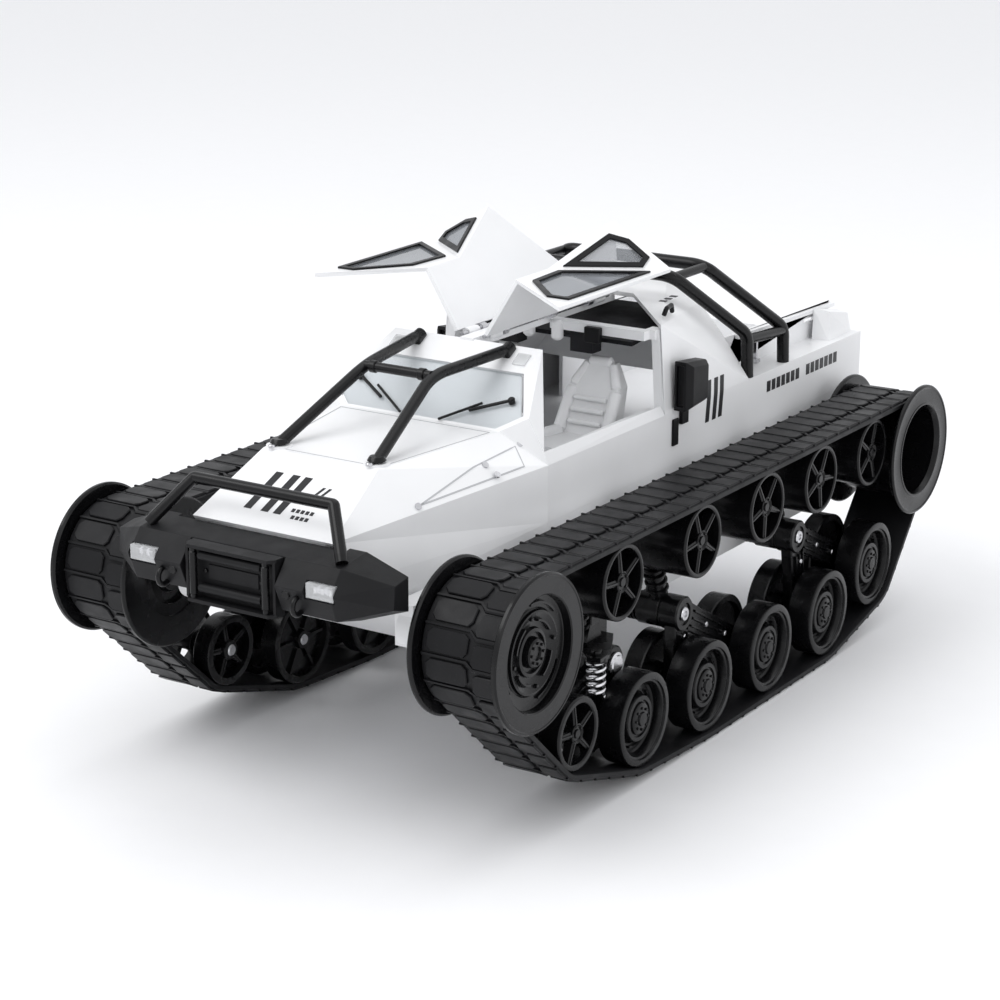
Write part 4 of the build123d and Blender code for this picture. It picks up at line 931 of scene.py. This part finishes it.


# Grey raised lines round the hood recess and the triangular fender recesses: painted shade standing in for the
# shadow at the recess steps.
recess_shade_lines = Build()
for s in (1, -1):
    strip(recess_shade_lines, HOOD, [(s * 43.6, -160.0), (s * 48.6, -97.2), (s * 56.0, -101.5), (s * 43.6, -160.0)], 0.45)
    strip(recess_shade_lines, HOOD, [(s * 28.0, -165.0), (s * 38.6, -101.5)], 0.45)
strip(recess_shade_lines, HOOD, [(-28.0, -165.0), (28.0, -165.0)], 0.45)
strip(recess_shade_lines, HOOD, [(-38.6, -101.5), (38.6, -101.5)], 0.45)
recess_shade_lines.finish("painted_recess_shade_lines", RECESS_EDGE_SHADE, "chassis", "white_shell")

marks = Build()
for x in (-14.0, -5.4, 0.8):
    patch(marks, [NOSE_STRIP], [(x, -178.5), (x + 3.6, -178.5), (x + 2.0, -198.5), (x - 1.6, -198.5)])
for x in (10.6, 13.6):
    patch(marks, [NOSE_STRIP], [(x, -186.5), (x + 1.7, -182.0), (x + 2.9, -182.0), (x + 1.2, -186.5)])
for y, x0, count in ((-194.5, 6.4, 5), (-197.8, 8.4, 4)):
    for k in range(count):
        x = x0 + 2.3 * k
        patch(marks, [NOSE_STRIP], [(x, y), (x + 1.5, y), (x + 1.6, y - 1.7), (x + 0.1, y - 1.7)])
for s in (1, -1):
    for k in range(3):
        y = 48.0 + 5.0 * k
        patch(marks, SAIL, [(s * 34.0, y), (s * 37.5, y), (s * 37.5, y + 2.2), (s * 34.0, y + 2.2)])


def side_x(y, z):
    """Outer side of the body at a height: upright strip below the crease, leaning facet above it."""
    n = normal_of((ROOF_SIDE, TAIL_C, CREASE_REAR))
    return 60.5 if z <= 133.0 else 60.5 - (n.y * (y - CREASE_REAR[1]) + n.z * (z - 133.0)) / n.x


def side_patch(b, s, y0, y1, z0, z1, lean=0.0):
    levels = [z0, 133.0, z1] if z0 < 133.0 < z1 else [z0, z1]
    for za, zb in zip(levels, levels[1:]):
        quad = [(y + lean * (z - z0), z) for z, y in ((za, y0), (za, y1), (zb, y1), (zb, y0))]
        b.prism([(s * (side_x(y, z) - 0.1), y, z) for y, z in quad],
                [(s * (side_x(y, z) + 0.2), y, z) for y, z in quad])


for s in (1, -1):
    for y0 in (48.8, 55.4, 61.2):
        side_patch(marks, s, y0 - 1.6, y0 + 1.8, 121.0, 140.5, 0.12)
    for y0 in (109.0, 151.0):
        for k in range(7):
            side_patch(marks, s, y0 + 5.1 * k, y0 + 5.1 * k + 3.6, 122.6, 127.9)
marks.finish("body_marks", DECAL, "chassis", "black_trim")


# ---- carried-over CAD nodes ----------------------------------------------------------------------

def dress(node, material, bevel):
    """Material and eased edges on a CAD node that keeps its own shape."""
    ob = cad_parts[node]
    ob.data.materials.clear()
    ob.data.materials.append(material)
    if bevel:
        weld = ob.modifiers.new("weld", "WELD")
        weld.merge_threshold = 0.00002
        flat = ob.modifiers.new("flat", "DECIMATE")
        flat.decimate_type = "DISSOLVE"
        flat.angle_limit = math.radians(1.0)
        mod = ob.modifiers.new("bevel", "BEVEL")
        mod.width = bevel * MM
        mod.segments = 2
        mod.limit_method = "ANGLE"
        mod.angle_limit = math.radians(25)
        even = ob.modifiers.new("even", "WEIGHTED_NORMAL")
        even.keep_sharp = True
    return ob


DRESS = {
    "body_shell": (WHITE, 0.35), "hull_tub": (HULL, 0.4), "glazing": (GLASS, 0.0), "hinge_rods": (STEEL, 0.0),
    "rear_hoops": (TUBE, 0.0), "bumper": (BUMPER, 0.4), "bumper_hoop": (TUBE, 0.0),
    "lamp_lenses": (LENS, 0.7), "side_fittings": (TRIM, 0.4),
    "small_fittings": (STEEL, 0.0), "cabin_fittings": (CABIN, 0.5), "roof_liner": (LINER, 0.2),
    "drive_units": (MOTOR, 0.3), "battery_pack": (BATTERY, 0.6), "control_board": (BOARD, 0.0),
    "axle_pins": (STEEL, 0.0), "front_springs": (SPRING, 0.0),
}
for side, sign in SIDES:
    DRESS["door_panel_" + side] = (WHITE, 0.3)
    DRESS["door_glass_" + side] = (DOOR_GLASS, 0.0)
    DRESS["door_frames_" + side] = (TRIM, 0.2)
for node, (material, bevel) in DRESS.items():
    dress(node, material, bevel)


# ---- floor and light -----------------------------------------------------------------------------

floor_mesh = bpy.data.meshes.new("floor")
floor_mesh.from_pydata([(-14, -10, 0), (14, -10, 0), (14, 24, 0), (-14, 24, 0)], [], [(0, 1, 2, 3)])
floor = bpy.data.objects.new("floor", floor_mesh)
bpy.context.scene.collection.objects.link(floor)
floor_mesh.materials.append(surface("floor_paper", (0.93, 0.93, 0.94), 0.6, tint=0.004, vary=0.05, spec=0.25))

world = bpy.data.worlds.new("studio")
bpy.context.scene.world = world
world.use_nodes = True
world.node_tree.nodes["Background"].inputs["Color"].default_value = (0.97, 0.98, 1.0, 1)
world.node_tree.nodes["Background"].inputs["Strength"].default_value = 0.92
bpy.context.scene.view_settings.view_transform = "Standard"


def softbox(name, at, aim, size, power):
    data = bpy.data.lights.new(name, "AREA")
    data.shape = "RECTANGLE"
    data.size, data.size_y = size
    data.energy = power
    ob = bpy.data.objects.new(name, data)
    bpy.context.scene.collection.objects.link(ob)
    ob.location = at
    ob.rotation_mode = "QUATERNION"
    ob.rotation_quaternion = (Vector(aim) - Vector(at)).to_track_quat("-Z", "Y")
    return ob


softbox("key", (-0.7, -1.0, 1.6), (0, 0, 0.1), (1.4, 1.0), 13.0)
softbox("fill", (1.7, -0.5, 0.9), (0, 0, 0.08), (1.2, 0.8), 2.5)
softbox("top", (0.1, 0.4, 1.7), (0, 0, 0.1), (1.2, 1.6), 4.0)
